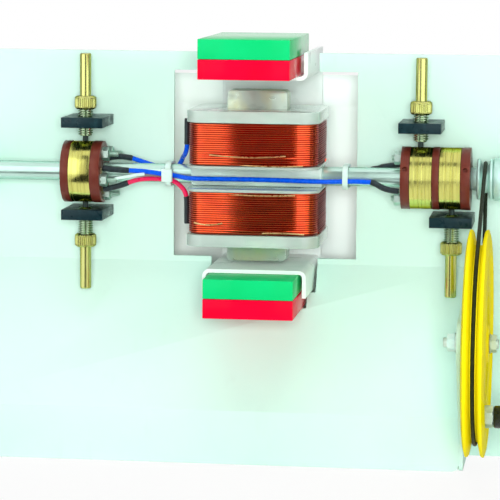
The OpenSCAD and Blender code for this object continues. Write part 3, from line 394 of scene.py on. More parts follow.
# %% [markdown]
# ## White enamel
# The stand is bent steel sheet with a baked white enamel that leans a little
# to green in this light. Enamel levels out into a faint orange peel, gets
# fine scuffs where hands slide over it, and thins at the sheet's edges. A
# low relief and a few broad tones are enough; more would look dirty.

# %% Enamels of the stand
(
    Finish("stand_white", (206, 240, 226), 0.45)
    .mottle(120, (197, 235, 221), 0.4, 0.7)
    .mottle(9, (199, 232, 218), 0.62, 0.8, (1, 1, 0.2), 0.5)
    .roughen(30, 0.36, 0.5)
    .relief(1.6, 0.02)
    .rubbed(0.5, (186, 220, 210), 0.5)
)
# The back cover is a paler white than the panel, and is painted paler still: painted
# light that brightens it where it lies in shade behind the window
(
    Finish("cover_white", (246, 255, 250), 0.6, Specular_IOR_Level=0.2)
    .mottle(90, (238, 253, 245), 0.4, 0.7)
    .roughen(25, 0.42, 0.58)
    .relief(1.4, 0.02)
    .rubbed(0.5, (205, 222, 210), 0.5)
)
(
    Finish("tray_white", (244, 254, 250), 0.3, Coat_Weight=0.1)
    .mottle(40, (228, 243, 238), 0.45, 0.7)
    .roughen(18, 0.24, 0.38)
    .relief(1.5, 0.012)
    .rubbed(0.5, (205, 216, 212), 0.6)
)
print("enamels", len(FINISHES))

# %% [markdown]
# ## Metals
# Turned metal keeps fine rings round its axis, and drawn metal keeps lines
# along its length. Both are the same noise, squeezed in one direction: the
# rotor's rings run round X, so their noise changes quickly along X only.
# Brass also darkens in patches where it is handled, and most metals get a painted dark
# reflection along their outlines.

# %% Metals
ROUND_X = (1, 0.03, 0.03)
ROUND_Z = (0.03, 0.03, 1)
ALONG_Z = (1, 1, 0.02)

(
    Finish("shaft_steel", (198, 232, 220), 0.18, 0.7)
    .mottle(14, (180, 212, 200), 0.5, 0.75, (0.3, 1, 1))
    .roughen(6, 0.12, 0.24, ROUND_X)
    .relief(0.35, 0.001, ROUND_X)
    .painted_dark_rim((120, 150, 140))
)
(
    Finish("bare_steel", (216, 236, 222), 0.34, 1.0)
    .mottle(5, (192, 212, 194), 0.45, 0.7)
    .roughen(3, 0.28, 0.44)
    .relief(0.5, 0.004)
    .painted_dark_rim((130, 150, 130))
    .rubbed(0.3, (236, 246, 236), 0.6)
)
(
    Finish("nickel", (206, 226, 196), 0.18, 1.0)
    .mottle(4, (176, 190, 146), 0.5, 0.75)
    .roughen(2.5, 0.12, 0.26)
    .painted_dark_rim((70, 86, 70))
)
(
    Finish("nut_plate", (214, 240, 228), 0.34, 1.0)
    .mottle(3, (190, 218, 204), 0.5, 0.75)
    .roughen(1.5, 0.28, 0.42)
    .relief(0.4, 0.003)
    .painted_dark_rim((90, 120, 110))
)
(
    Finish("brass", (214, 216, 134), 0.26, 1.0)
    .mottle(5, (190, 186, 98), 0.5, 0.8, (1, 1, 0.25))
    .roughen(2.2, 0.2, 0.32, ALONG_Z)
    .painted_dark_rim((110, 104, 50))
    .rubbed(0.25, (236, 236, 164), 0.6)
)
(
    Finish("ring_brass", (220, 218, 122), 0.2, 1.0)
    .mottle(1.3, (176, 166, 74), 0.5, 0.72, ROUND_X, 0.6)
    .mottle(9, (168, 156, 74), 0.58, 0.8, (1, 0.5, 0.5), 0.5)
    .roughen(1.0, 0.15, 0.3, ROUND_X)
    .relief(0.9, 0.006, ROUND_X)
    .painted_dark_rim((110, 104, 44))
)
(
    Finish("bronze", (205, 168, 98), 0.35, 1.0)
    .mottle(2, (160, 120, 66), 0.5, 0.75)
    .roughen(1.5, 0.28, 0.48)
    .relief(0.4, 0.004, ROUND_X)
)
(
    Finish("pulley_alu", (196, 232, 222), 0.38, 0.7)
    .mottle(6, (176, 212, 202), 0.45, 0.75)
    .roughen(1.2, 0.34, 0.52, ROUND_X)
    .relief(0.5, 0.004, ROUND_X)
)
(
    Finish("iron", (182, 196, 184), 0.34, 0.85)
    .mottle(16, (198, 200, 160), 0.48, 0.7, (1, 1, 0.7))
    .mottle(2.5, (150, 164, 154), 0.55, 0.8, (0.3, 1, 1), 0.7)
    .roughen(7, 0.26, 0.46)
    .relief(0.9, 0.01, (0.1, 1, 1))
    .rubbed(0.4, (96, 118, 104), 0.8)
)
print("metals", len(FINISHES))

# %% [markdown]
# ## Paint, plastics, paper laminate and rubber
# The bar magnets are sprayed, half green and half red, and chip at their
# corners. The brush blocks are black insulating board. The drums are paper
# laminate, a stack of brown sheets whose edges show as thin lines. The coil
# formers are clear plastic, which needs real thickness to look like plastic.

# %% Paints, plastics and rubber
(
    Finish("magnet_green", (16, 206, 119), 0.4, Specular_IOR_Level=0.03)
    .mottle(22, (12, 199, 110), 0.45, 0.75)
    .roughen(12, 0.34, 0.46)
    .relief(9, 0.01)
    .glancing(0.06, 0.6)
    .rubbed(0.3, (150, 236, 196), 0.6)
)
(
    Finish("magnet_red", (238, 2, 50), 0.4, Specular_IOR_Level=0.03)
    .mottle(22, (228, 2, 42), 0.45, 0.75)
    .roughen(12, 0.34, 0.46)
    .relief(9, 0.01)
    .glancing(0.06, 0.6)
    .rubbed(0.3, (244, 130, 140), 0.6)
)
(
    Finish("block_black", (10, 38, 44), 0.26, Specular_IOR_Level=0.25)
    .mottle(4, (26, 58, 64), 0.5, 0.8)
    .roughen(3, 0.24, 0.44)
    .relief(0.4, 0.006)
    .rubbed(0.3, (96, 122, 124), 0.8)
)
(
    Finish("carbon", (30, 46, 44), 0.5, 0.3)
    .mottle(0.8, (56, 74, 70), 0.5, 0.7, ALONG_Z)
    .roughen(0.6, 0.35, 0.6)
    .relief(0.3, 0.006)
)
(
    Finish("laminate", (100, 42, 30), 0.36, Specular_IOR_Level=0.3)
    .mottle(0.5, (92, 34, 24), 0.45, 0.7, ROUND_X)
    .mottle(5, (118, 62, 44), 0.5, 0.8, (1, 1, 1), 0.6)
    .roughen(2, 0.28, 0.46)
    .relief(0.45, 0.008, ROUND_X)
    .rubbed(0.3, (184, 128, 100), 0.7)
)
(
    Finish("clear", (236, 255, 246), 0.07, IOR=1.49, Transmission_Weight=0.55)
    .mottle(9, (226, 252, 240), 0.45, 0.75)
    .roughen(12, 0.05, 0.1)
)
(
    Finish("tie_white", (212, 238, 226), 0.4, Subsurface_Weight=0.15)
    .mottle(2, (198, 226, 214), 0.5, 0.8)
    .roughen(1.5, 0.34, 0.5)
    .relief(0.5, 0.006)
)
(
    Finish("wheel_yellow", (252, 236, 18), 0.25, Specular_IOR_Level=0.0, Coat_Weight=0.1)
    .mottle(24, (250, 226, 14), 0.45, 0.75)
    .roughen(9, 0.2, 0.32)
    .relief(9.0, 0.01)
)
(
    Finish("handle_black", (12, 24, 22), 0.24)
    .mottle(4, (26, 42, 38), 0.55, 0.8)
    .roughen(2, 0.2, 0.38)
    .relief(0.6, 0.006)
)
(
    Finish("belt_rubber", (26, 34, 22), 0.5, Specular_IOR_Level=0.2)
    .mottle(1.5, (44, 50, 32), 0.5, 0.75)
    .roughen(1.2, 0.4, 0.62)
    .relief(0.5, 0.01)
)
print("finishes so far", len(FINISHES))

# %% [markdown]
# ## Wire finishes
# The coils are copper wire under a clear red-brown enamel, so they act like
# coloured metal with a thin coat. The leads have soft coloured insulation,
# and their ends are covered by shrunk black sleeves.

# %% Copper and insulation
(
    Finish("copper", (250, 92, 24), 0.1, 1.0, Coat_Roughness=0.05)
    .mottle(11, (234, 70, 14), 0.45, 0.75, (1, 1, 2))
    .roughen(6, 0.06, 0.11)
    .painted_dark_rim((130, 30, 24))
    .glancing(1.0, 0.0)
)
(
    Finish("bare_copper", (234, 196, 138), 0.3, 1.0)
    .mottle(3, (212, 150, 88), 0.5, 0.75)
    .roughen(2, 0.22, 0.4)
)
(
    Finish("copper_inner", (150, 40, 20), 0.4, 0.8)
    .mottle(1.1, (110, 24, 12), 0.45, 0.7, ROUND_Z)
    .relief(1.13, 0.2, ROUND_Z, 0.0)
)
(
    Finish("tinned", (196, 190, 150), 0.3, 1.0)
    .mottle(0.8, (150, 140, 96), 0.5, 0.75)
    .roughen(0.6, 0.25, 0.45)
)
(
    Finish("wire_blue", (2, 88, 228), 0.26, Specular_IOR_Level=0.2)
    .mottle(5, (2, 74, 214), 0.45, 0.75)
    .roughen(2, 0.2, 0.34)
    .relief(0.8, 0.006)
)
(
    Finish("wire_red", (226, 14, 84), 0.3, Coat_Weight=0.1)
    .mottle(5, (206, 8, 66), 0.45, 0.75)
    .roughen(2, 0.26, 0.42)
    .relief(0.8, 0.01)
)
(
    Finish("sleeve_black", (20, 32, 36), 0.4)
    .mottle(1.6, (38, 56, 60), 0.5, 0.75)
    .roughen(1.2, 0.34, 0.54)
    .relief(0.7, 0.03)
)
missing = sorted(set(slot_of_node.values()) - set(FINISHES))
print("finishes", len(FINISHES), "missing", missing)

# %% [markdown]
# ## Helpers for meshes
# Sheet, bars and blocks are right in the model, but every edge is a knife
# edge. Real edges are broken, and the thin bright line on them is much of
# what makes a part look real. `softened` copies a node's mesh, joins its
# flat triangles again and bevels the sharp edges.


# %% Broken edges for a modelled part
MM = 0.001


def shade_by_angle(mesh, angle):
    mesh.shade_smooth()
    mesh.set_sharp_from_angle(angle=math.radians(angle))


def put_on(piece, body, slot, *stands_for):
    """Gives a piece its finish, its body and the nodes that it stands for."""
    piece.data.materials.clear()
    piece.data.materials.append(FINISHES[slot].material)
    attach(piece, body)
    for node in stands_for:
        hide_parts(node)
    return piece


def object_from(mesh, name):
    piece = bpy.data.objects.new(name, mesh)
    bpy.context.scene.collection.objects.link(piece)
    return piece


def softened(node, name, width=0.3, segments=2, corner=30.0, slot=None):
    """A copy of a node's mesh whose edges sharper than corner are broken."""
    mesh = nodes[node].data.copy()
    mesh.name = name
    mesh.attributes.remove(mesh.attributes["custom_normal"])
    work = bmesh.new()
    work.from_mesh(mesh)
    bmesh.ops.remove_doubles(work, verts=work.verts, dist=2e-6)
    flat = math.radians(0.3)
    bmesh.ops.dissolve_limit(work, angle_limit=flat, verts=work.verts, edges=work.edges)
    paired = [edge for edge in work.edges if len(edge.link_faces) == 2]
    limit = math.radians(corner)
    sharp = [edge for edge in paired if edge.calc_face_angle(0.0) > limit]
    how = {"profile": 0.5, "affect": "EDGES", "clamp_overlap": True}
    bmesh.ops.bevel(work, geom=sharp, offset=width * MM, segments=segments, **how)
    bmesh.ops.recalc_face_normals(work, faces=work.faces)
    work.to_mesh(mesh)
    work.free()
    shade_by_angle(mesh, 38)
    piece = object_from(mesh, name)
    return put_on(piece, body_of_node[node], slot or slot_of_node[node], node)


print("softened() is ready")

# %% [markdown]
# The panel, trays, cover, brackets and base are all bent or cut from sheet,
# so they get a small even break. The blocks and magnets are sawn or ground
# square, and theirs is a little wider.

# %% Sheet parts, blocks and magnets
# Node: name of the piece, width of the break, and its steps where not 2
EDGES = {
    "front_sheet": ("panel_and_apron", 0.35),
    "wheel_bracket": ("wheel_arm", 0.35),
    "base_plate": ("floor_plate", 0.35),
    "rear_cover": ("back_cover", 0.35),
    "yoke": ("magnet_trays", 0.4),
    "yoke_spacers": ("tray_spacers", 0.4),
    "left_bracket": ("left_bearing_plate", 0.4),
    "right_bracket": ("right_bearing_plate", 0.4),
}
for node_end, end in (("top", "upper"), ("bottom", "lower")):
    for paint in ("green", "red"):
        EDGES[f"{node_end}_magnet_{paint}"] = (f"{end}_magnet_{paint}_half", 0.35)
for corner in ("top_left", "bottom_left", "top_right", "bottom_right"):
    EDGES["block_" + corner] = ("brush_block_" + corner, 0.35)
EDGES["iron_core"] = ("rotor_core", 0.3)
EDGES["cable_ties"] = ("wire_ties", 0.3)
EDGES["centre_block"] = ("clear_centre_block", 0.35, 3)
EDGES["upper_former"] = ("upper_coil_former", 0.35, 3)
EDGES["lower_former"] = ("lower_coil_former", 0.35, 3)
for node, how in EDGES.items():
    softened(node, *how)
print("softened", len(EDGES))

# %% [markdown]
# ## Turned parts
# Anything made on a lathe is one outline swept round an axis. The model has
# these shapes, but a finer sweep with small chamfers catches the light
# better. `turned` takes pairs of radius and place along the axis.


# %% A lathe
def clean_mesh(name, points, faces, angle=35):
    mesh = bpy.data.meshes.new(name)
    mesh.from_pydata([[c * MM for c in p] for p in points], [], faces)
    work = bmesh.new()
    work.from_mesh(mesh)
    bmesh.ops.remove_doubles(work, verts=work.verts, dist=1e-6)
    bmesh.ops.recalc_face_normals(work, faces=work.faces)
    work.to_mesh(mesh)
    work.free()
    shade_by_angle(mesh, angle)
    return mesh


def on_axis(axis, centre, radius, angle, along):
    """A point at a radius and angle round an axis, in millimetres."""
    c, s = radius * math.cos(angle), radius * math.sin(angle)
    x, y, z = centre
    if axis == "X":
        return (x + along, y + c, z + s)
    return (x + c, y + s, z + along)


def grid_faces(rows, columns, round_rows=True):
    """The faces between rows of points, where each row closes on itself."""
    faces = []
    for r in range(rows if round_rows else rows - 1):
        here, there = r * columns, (r + 1) % rows * columns
        for c in range(columns):
            n = (c + 1) % columns
            faces.append((here + c, here + n, there + n, there + c))
    return faces


def turned(name, outline, centre, axis="X", steps=96, angle=35):
    """An outline of radius and place pairs, swept round an axis."""
    points = [
        on_axis(axis, centre, radius, 2 * math.pi * k / steps, along)
        for k in range(steps)
        for radius, along in outline
    ]
    faces = grid_faces(steps, len(outline))
    return object_from(clean_mesh(name, points, faces, angle), name)


def band_outline(bore, radius, start, end, chamfer=0.3):
    """The outline of a ring with broken outer corners."""
    return [
        (bore, start),
        (radius - chamfer, start),
        (radius, start + chamfer),
        (radius, end - chamfer),
        (radius - chamfer, end),
        (bore, end),
    ]


SHAFT_MM = 152.0
ON_SHAFT = (0, 0, SHAFT_MM)
print("turned() is ready")

# %% [markdown]
# The wheel is moulded in yellow plastic: a thin web with a hub, and a rim
# with a V groove for the belt. Its rim edges are rounded, so the outline
# walks round them in short steps.

# %% Belt wheel
AXLE_Y, AXLE_Z = -60.0, 74.0
BELT_X = 120.3
WHEEL_R, WHEEL_W = 57.8, 12.0
GROOVE_R = 49.95
WEB_RECESS, RIM_ROUND = 1.2, 1.3


def rim_side(sign):
    """Half of the rim's outline, from the groove's floor to the web."""
    half = WHEEL_W / 2
    side = [(GROOVE_R, 1.55), (GROOVE_R + 0.6, 1.62), (WHEEL_R - 0.9, 3.0)]
    for degrees in range(25, 120, 12):
        a = math.radians(degrees)
        out, along = RIM_ROUND * math.sin(a), 4.3 - RIM_ROUND * math.cos(a)
        side.append((WHEEL_R - RIM_ROUND + out, along))
    side += [(WHEEL_R - 3.5, half - 0.35), (GROOVE_R + 1.6, half - 0.05)]
    side += [(GROOVE_R - 1.6, half), (GROOVE_R - 2.3, half - 0.3)]
    side += [(GROOVE_R - 3.3, half - WEB_RECESS), (10.2, half - WEB_RECESS)]
    side += [(9.4, half - 0.5), (8.8, half - 0.05), (4.55, half)]
    return [(radius, sign * along) for radius, along in side]


wheel_outline = rim_side(1) + rim_side(-1)[::-1]
hub = (BELT_X, AXLE_Y, AXLE_Z)
wheel = turned("yellow_wheel", wheel_outline, hub, steps=192, angle=50)
put_on(wheel, "belt_wheel", "wheel_yellow", "wheel")
print("wheel points", len(wheel.data.vertices))

# %% [markdown]
# The small pulley sits at the shaft's end. The drums carry brass between
# flanges of paper laminate: the slip rings are whole rings, and the
# commutator's brass is split in two. The brushes have worn shallow tracks
# into the slip rings, so their outlines dip in a few places.

# %% Small pulley and slip rings
DRUM_END_X = 112.8
pulley_outline = [(5.05, 0.1), (5.8, 0.1), (6, 0.3), (6, 3.2)]
pulley_outline += [(10.0, 3.2), (10.5, 3.4), (10.8, 3.9), (10.7, 4.7)]
pulley_outline += [(7.6, 5.9), (7.25, 6.3), (7.25, 8.7), (7.6, 9.1)]
pulley_outline += [(10.7, 10.3), (10.8, 11.1), (10.5, 11.6), (10.0, 11.8)]
pulley_outline += [(9.2, 11.85), (9.2, 12.15), (10.7, 12.2), (11.1, 12.35)]
pulley_outline += [(11.2, 12.6), (11.2, 16.3), (11.0, 16.65), (10.6, 16.8)]
pulley_outline += [(5.05, 16.8)]
pulley = turned("driven_pulley", pulley_outline, (DRUM_END_X, 0, SHAFT_MM), angle=50)
put_on(pulley, "rotor", "pulley_alu", "small_pulley")

RING_R, HUB_R = 16.3, 13.1


def worn_ring(name, start, end, tracks):
    """A brass ring whose face is turned in steps by the brush."""
    outline = [(HUB_R, start), (RING_R - 0.2, start), (RING_R, start + 0.2)]
    for place, depth in tracks:
        outline += [(RING_R, place), (RING_R - depth, place + 0.12)]
        outline += [(RING_R - depth, place + 0.3), (RING_R, place + 0.42)]
    outline += [(RING_R, end - 0.2), (RING_R - 0.2, end), (HUB_R, end)]
    return turned(name, outline, ON_SHAFT, steps=128, angle=25)


RINGS = {
    "slip_ring_left": (81.1, 92.9, ((83.2, 0.06), (85.6, 0.12), (87.5, 0.06))),
    "slip_ring_right": (96.6, 107.9, ((99.4, 0.06), (102.4, 0.12), (103.6, 0.1))),
}
for node, (start, end, tracks) in RINGS.items():
    ring = worn_ring(node + "_turned", start, end, tracks)
    put_on(ring, "rotor", "ring_brass", node)
for node in ("segment_front", "segment_back"):
    softened(node, node + "_brass", 0.2, 2, 50, "ring_brass")
for node in ("commutator_hub", "slip_ring_hub"):
    softened(node, node + "_laminate", 0.35, 2, 50)
print("rings", len(RINGS))

# %% [markdown]
# ## Coils
# Each coil is one long wire laid turn beside turn, so we draw its path and
# run a round section along it. A real winding bows outward on its flats,
# slopes a little, and has a turn or two that lie proud. The path has the
# same place and number of turns as the model's, with thicker wire.


# %% A round section along a path
def tube(name, path, radius, sides=12, closed=False, angle=60):
    """A tube in millimetres along path. radius is a number or one per point."""
    path = np.array(path, float)
    count = len(path)
    radii = np.broadcast_to(np.array(radius, float), (count,))
    if closed:
        ahead = np.roll(path, -1, 0) - np.roll(path, 1, 0)
    else:
        ahead = np.gradient(path, axis=0)
    ahead /= np.linalg.norm(ahead, axis=1)[:, None]
    side = np.cross(ahead[0], (0.13, 0.27, 0.95))
    side /= np.linalg.norm(side)
    points = []
    for i in range(count):
        side = side - ahead[i] * side.dot(ahead[i])
        side /= np.linalg.norm(side)
        other = np.cross(ahead[i], side)
        for k in range(sides):
            a = 2 * math.pi * k / sides
            way = math.cos(a) * side + math.sin(a) * other
            points.append(path[i] + radii[i] * way)
    # The same faces turned over, so that they look outward
    faces = [(a, d, c, b) for a, b, c, d in grid_faces(count, sides, closed)]
    if not closed:
        faces.append(tuple(range(sides))[::-1])
        faces.append(tuple((count - 1) * sides + k for k in range(sides)))
    mesh = bpy.data.meshes.new(name)
    mesh.from_pydata([tuple(p * MM) for p in points], [], faces)
    shade_by_angle(mesh, angle)
    return object_from(mesh, name)


# %% [markdown]
# One turn is a rounded rectangle whose flats bow out, and the wire climbs
# one pitch on each. An even winding looks like a stack of rings, so the turns
# get a little random lift and drift, with a fixed seed to make them the same
# each time. The lower coil is wound likewise and turned half round the shaft.

# %% Wind both coils
COIL_TURNS, COIL_PITCH = 19, 1.13
COIL_WIRE = 1.06
COIL_W, COIL_D, CORNER_R = 69.3, 60.4, 10.0
COIL_START = 7.265
BOW, SIDE_BOW, END_BOW = 1.1, 0.35, 0.3


def flat_bow(share):
    """How far a flat side bows out, from 0 at its ends to 1 in the middle."""
    return math.sin(math.pi * share)


def turn_outline(steps_corner=7, steps_flat=10):
    """One turn seen along the coil's axis, as points with an outward way."""
    corner_x = COIL_W / 2 - COIL_WIRE / 2 - SIDE_BOW - CORNER_R
    corner_y = COIL_D / 2 - COIL_WIRE / 2 - END_BOW - CORNER_R
    signs = [(1, 1), (-1, 1), (-1, -1), (1, -1)]

    def at(n, way):
        sx, sy = signs[n % 4]
        return sx * corner_x + CORNER_R * way[0], sy * corner_y + CORNER_R * way[1]

    def way_at(degrees):
        return math.cos(math.radians(degrees)), math.sin(math.radians(degrees))

    outline = []
    for n in range(4):
        for i in range(steps_corner):
            way = way_at(90 * n + 90 * i / steps_corner)
            outline.append((*at(n, way), *way, 0.0))
        way = way_at(90 * n + 90)
        (bx, by), (ex, ey) = at(n, way), at(n + 1, way)
        for i in range(steps_flat):
            t = i / steps_flat
            outline.append((bx + (ex - bx) * t, by + (ey - by) * t, *way, flat_bow(t)))
    return outline


def coil_path(seed, proud_turns):
    """The whole wire. proud_turns gives how far single turns stand out."""
    rng = np.random.default_rng(seed)
    lift = rng.normal(0, 0.05, COIL_TURNS + 1)
    drift = rng.normal(0, 0.035, COIL_TURNS + 1)
    outline = turn_outline()
    path = []
    for turn in range(COIL_TURNS):
        for i, (x, y, wx, wy, bow) in enumerate(outline):
            share = i / len(outline)
            out = lift[turn] * (1 - share) + lift[turn + 1] * share
            out += bow * (BOW if abs(wy) > 0.5 else SIDE_BOW)
            z = COIL_START + COIL_PITCH * (turn + share)
            z += drift[turn] * (1 - share) + drift[turn + 1] * share
            if turn in proud_turns:
                out += proud_turns[turn] * bow
            path.append((x + out * wx, y + out * wy, z))
    return path


def wound_coil(name, sign, seed, proud_turns, node):
    wire = coil_path(seed, proud_turns)
    path = [(x, sign * y, SHAFT_MM + sign * z) for x, y, z in wire]
    coil = tube(name, path, COIL_WIRE / 2, 10)
    return put_on(coil, "rotor", "copper", node)


upper_coil = wound_coil("upper_coil_wire", 1, 4, {3: 0.5, 1: 0.35}, "upper_winding")
lower_coil = wound_coil("lower_coil_wire", -1, 9, {17: 0.5, 0: 0.3}, "lower_winding")
for coil in ("upper_coil", "lower_coil"):
    softened(coil + "_body", coil + "_inner_layers", 0.4)
print("coil points", len(upper_coil.data.vertices), len(lower_coil.data.vertices))

# %% [markdown]
# A few turns have come loose in front and lost their enamel. They catch the
# light as thin pale lines across the copper, so each is a short wire of its
# own, bowed a little out of the winding.

# %% Loose turns in front
COIL_FRONT_Y, LOOSE_WIRE_R = -30.2, 0.42
# From X, to X, place along Z, sag
PROUD_TURNS = [
    (-22.0, 18.0, 12.7, 0.9),
    (-6.0, 27.0, 7.6, 0.3),
    (-12.0, 23.0, -7.7, 0.4),
    (4.0, 28.0, -28.0, -0.5),
    (-30.0, -15.0, -23.0, 0.9),
]
for n, (first, last, height, sag) in enumerate(PROUD_TURNS):
    route = []
    for k in range(17):
        share, bulge = k / 16, flat_bow(k / 16)
        x = first + (last - first) * share
        z = SHAFT_MM + height - sag * bulge
        route.append((x, COIL_FRONT_Y - BOW * bulge, z))
    loose = tube(f"proud_turn_{n + 1}", route, LOOSE_WIRE_R, 8)
    put_on(loose, "rotor", "bare_copper")
print("loose turns", len(PROUD_TURNS))

# %% [markdown]
# ## Leads, sleeves and belt
# The leads leave the commutator, run along the shaft under two ties, and
# one carries on past the rotor to the slip rings. We reuse the model's own
# routes and smooth them with a curve through each chosen point.


# %% Leads on the rotor
def smooth(points, steps=8):
    """A smooth line through a few chosen points, measured from the shaft."""
    p = [np.array(q, float) for q in points]
    line = []
    for i in range(len(p) - 1):
        a, b = p[max(i - 1, 0)], p[i]
        e, f = p[i + 1], p[min(i + 2, len(p) - 1)]
        square, cube = 2 * a - 5 * b + 4 * e - f, 3 * b - a - 3 * e + f
        for k in range(steps):
            t = k / steps
            line.append(0.5 * (2 * b + (e - a) * t + square * t**2 + cube * t**3))
    line.append(p[-1])
    return [q + np.array(ON_SHAFT) for q in line]


WIRE_D = 2.5
# Name: finish, the node it stands for, route
LEADS = {
    "blue_lead_to_upper_coil": (
        "wire_blue",
        [],
        [(-68.6, 2.4, 7.3), (-62, 5, 4.9), (-56, 6.3, 3), (-50, 6.7, 1.7)]
        + [(-45.2, 6.6, 2.4), (-42.6, 5.2, 5.6), (-41, 1.6, 8.4)]
        + [(-39, -4.4, 10.6), (-37.8, -7.2, 12.9), (-37.3, -7.9, 16.2)],
    ),
    "blue_lead_to_slip_ring": (
        "wire_blue",
        ["blue_wires"],
        [(-68.4, -8.6, 1.7), (-62, -8.4, 1.5), (-56, -7.9, 0.9), (-50, -7.3, 0)]
        + [(-44, -8.2, -0.5), (-36, -12.2, -1.4), (-24, -13.8, -1.4)]
        + [(0, -14, -1.3), (24, -13.8, -1.6), (36, -12.2, -1.9)]
        + [(44, -8.4, -2), (50, -7, -2), (55, -7, -2), (60.5, -7.2, -2.2)],
    ),
    "blue_lead_behind": (
        "wire_blue",
        [],
        [(36.6, 6.8, 1.5), (44, 6.8, 1.5), (50, 6.8, 1.6), (55, 6.8, 2.2)]
        + [(59.5, 6.8, 3.2)],
    ),
    "red_lead_to_lower_coil": (
        "wire_red",
        ["red_wire"],
        [(-69, -7.6, -4.9), (-65, -7.4, -3.6), (-60, -7, -2.8), (-55, -6.5, -2.7)]
        + [(-50, -6.1, -2.9), (-45.6, -6, -3.5), (-42.2, -6.6, -5.2)]
        + [(-39, -7.6, -8.2), (-37.5, -8, -11.6)],
    ),
}
for name, (slot, stands_for, route) in LEADS.items():
    put_on(tube(name, smooth(route), WIRE_D / 2, 16), "rotor", slot, *stands_for)

# One lead shows its bare, tinned end at the commutator
BARE_END = [(-75.5, -11, -2.6), (-70, -10.6, -1.6), (-64.5, -9.9, -0.5), (-60, -9, 0)]
BARE_R = 0.85
put_on(tube("bare_lead_end", smooth(BARE_END), BARE_R, 12), "rotor", "tie_white")
print("leads", len(LEADS))

# %% [markdown]
# Black sleeves are shrunk over the ends of the leads, where they meet a lug
# or a coil. A plain tube would look too perfect, so the radius of each one
# wanders a little along its length and draws in at both mouths.

# %% Shrunk sleeves
SLEEVE_D, SLEEVE_LEAST_R = 3.1, 1.36
SLEEVES = [
    [(-82.4, 1.2, 7), (-79.5, 0.7, 7.7), (-74.5, 1, 8.2), (-68.6, 2.4, 7.3)],
    [(-37.3, -7.9, 16.2), (-37.2, -8, 19), (-37.2, -8, 30)],
    [(-82.4, -9.6, 2.8), (-78.6, -9.6, 2.3), (-74, -9.2, 2), (-68.4, -8.6, 1.7)],
    [(60.5, -7.2, -2.2), (62.8, -7.3, -2.9), (67, -7.5, -5), (71, -7.7, -6.1)]
    + [(75.4, -7.8, -6.6)],
    [(-82.4, -7.9, -8.6), (-79.6, -7.9, -8.2), (-74.6, -7.9, -6.9), (-69, -7.6, -4.9)],
    [(-37.5, -8, -11.6), (-37.2, -8, -14.5), (-37.2, -8, -26)],
    [(59.5, 6.8, 3.2), (63, 6.8, 4), (67, 6.8, 5.1), (75.4, 6.8, 6.4)],
]


def sleeve_radii(count, seed):
    """A shrunk sleeve is slightly lumpy and rounded at its mouths."""
    rng = np.random.default_rng(seed)
    wave = np.convolve(rng.normal(0, 0.08, count + 4), np.ones(5) / 5, "valid")
    radii = SLEEVE_D / 2 + 0.02 + wave
    radii[0] = radii[-1] = SLEEVE_D / 2 - 0.15
    return np.maximum(radii, SLEEVE_LEAST_R)


for n, route in enumerate(SLEEVES):
    line = smooth(route, 9)
    sleeve = tube(f"shrunk_sleeve_{n + 1}", line, sleeve_radii(len(line), n), 16)
    put_on(sleeve, "rotor", "sleeve_black", *(["wire_sleeves"] if n == 0 else []))
print("sleeves", len(SLEEVES))

# %% [markdown]
# The belt is one closed rubber cord in the grooves of both wheels. Its
# middle line could be drawn by hand, but geometry gives it: an arc on each
# wheel, and two straight runs that touch both arcs. The belt stays where it
# is when the wheels turn, and on a plain round belt nobody can tell.

# %% Belt
SMALL_BELT_R, WHEEL_BELT_R, BELT_D = 8.45, 51.15, 2.1


def belt_line():
    """The belt's centre line: an arc on each wheel, joined by straight runs."""
    span = math.hypot(AXLE_Y, AXLE_Z - SHAFT_MM)
    opening = math.asin((WHEEL_BELT_R - SMALL_BELT_R) / span)
    middle = math.atan2(AXLE_Z - SHAFT_MM, AXLE_Y)
    line, small = [], []
    for i in range(97):
        a = middle - math.pi / 2 - opening + (math.pi + 2 * opening) * i / 96
        y, z = WHEEL_BELT_R * math.cos(a), WHEEL_BELT_R * math.sin(a)
        line.append(np.array((BELT_X, AXLE_Y + y, AXLE_Z + z)))
    for i in range(33):
        a = middle + math.pi / 2 + opening + (math.pi - 2 * opening) * i / 32
        y, z = SMALL_BELT_R * math.cos(a), SMALL_BELT_R * math.sin(a)
        small.append(np.array((BELT_X, y, SHAFT_MM + z)))
    first, last = line[0], line[-1]
    line += [last + (small[0] - last) * k / 12 for k in range(1, 12)]
    line += small
    line += [small[-1] + (first - small[-1]) * k / 12 for k in range(1, 12)]
    return line


belt = tube("drive_belt", belt_line(), BELT_D / 2, 16, closed=True)
put_on(belt, "stand", "belt_rubber", "belt")
print("belt points", len(belt.data.vertices))

# %% [markdown]
# ## Threads, knurls and nuts
# A thread is a surface whose radius goes up and down along the axis, with
# the pattern turning as it climbs. A knurl does the same round the axis. A
# nut is a hexagon whose corners are cut by a cone. All three are one grid
# of points with a different radius rule, so one helper makes them all.


# %% A surface with a radius rule
def shaped_bar(name, rule, stations, centre, axis, steps=48, bore=0.0, angle=35):
    """rule(place, angle) gives the radius; stations are places along the axis."""
    rows = len(stations)
    angles = [2 * math.pi * k / steps for k in range(steps)]
    around = [(k, (k + 1) % steps) for k in range(steps)]
    points = [
        on_axis(axis, centre, rule(place, a), a, place)
        for place in stations
        for a in angles
    ]
    faces = grid_faces(rows, steps, round_rows=False)
    if bore:
        for end, edge in ((stations[0], 0), (stations[-1], (rows - 1) * steps)):
            first = len(points)
            points += [on_axis(axis, centre, bore, a, end) for a in angles]
            faces += [(edge + k, edge + n, first + n, first + k) for k, n in around]
        low, high = rows * steps, (rows + 1) * steps
        faces += [(low + k, low + n, high + n, high + k) for k, n in around]
    else:
        faces.append(tuple(range(steps)))
        faces.append(tuple((rows - 1) * steps + k for k in range(steps)))
    return object_from(clean_mesh(name, points, faces, angle), name)


# How steep a thread's flanks are, the flat at its root, its run-out in turns
THREAD_FLANK, THREAD_FLAT, RUN_OUT = 2.2, 0.45, 0.6


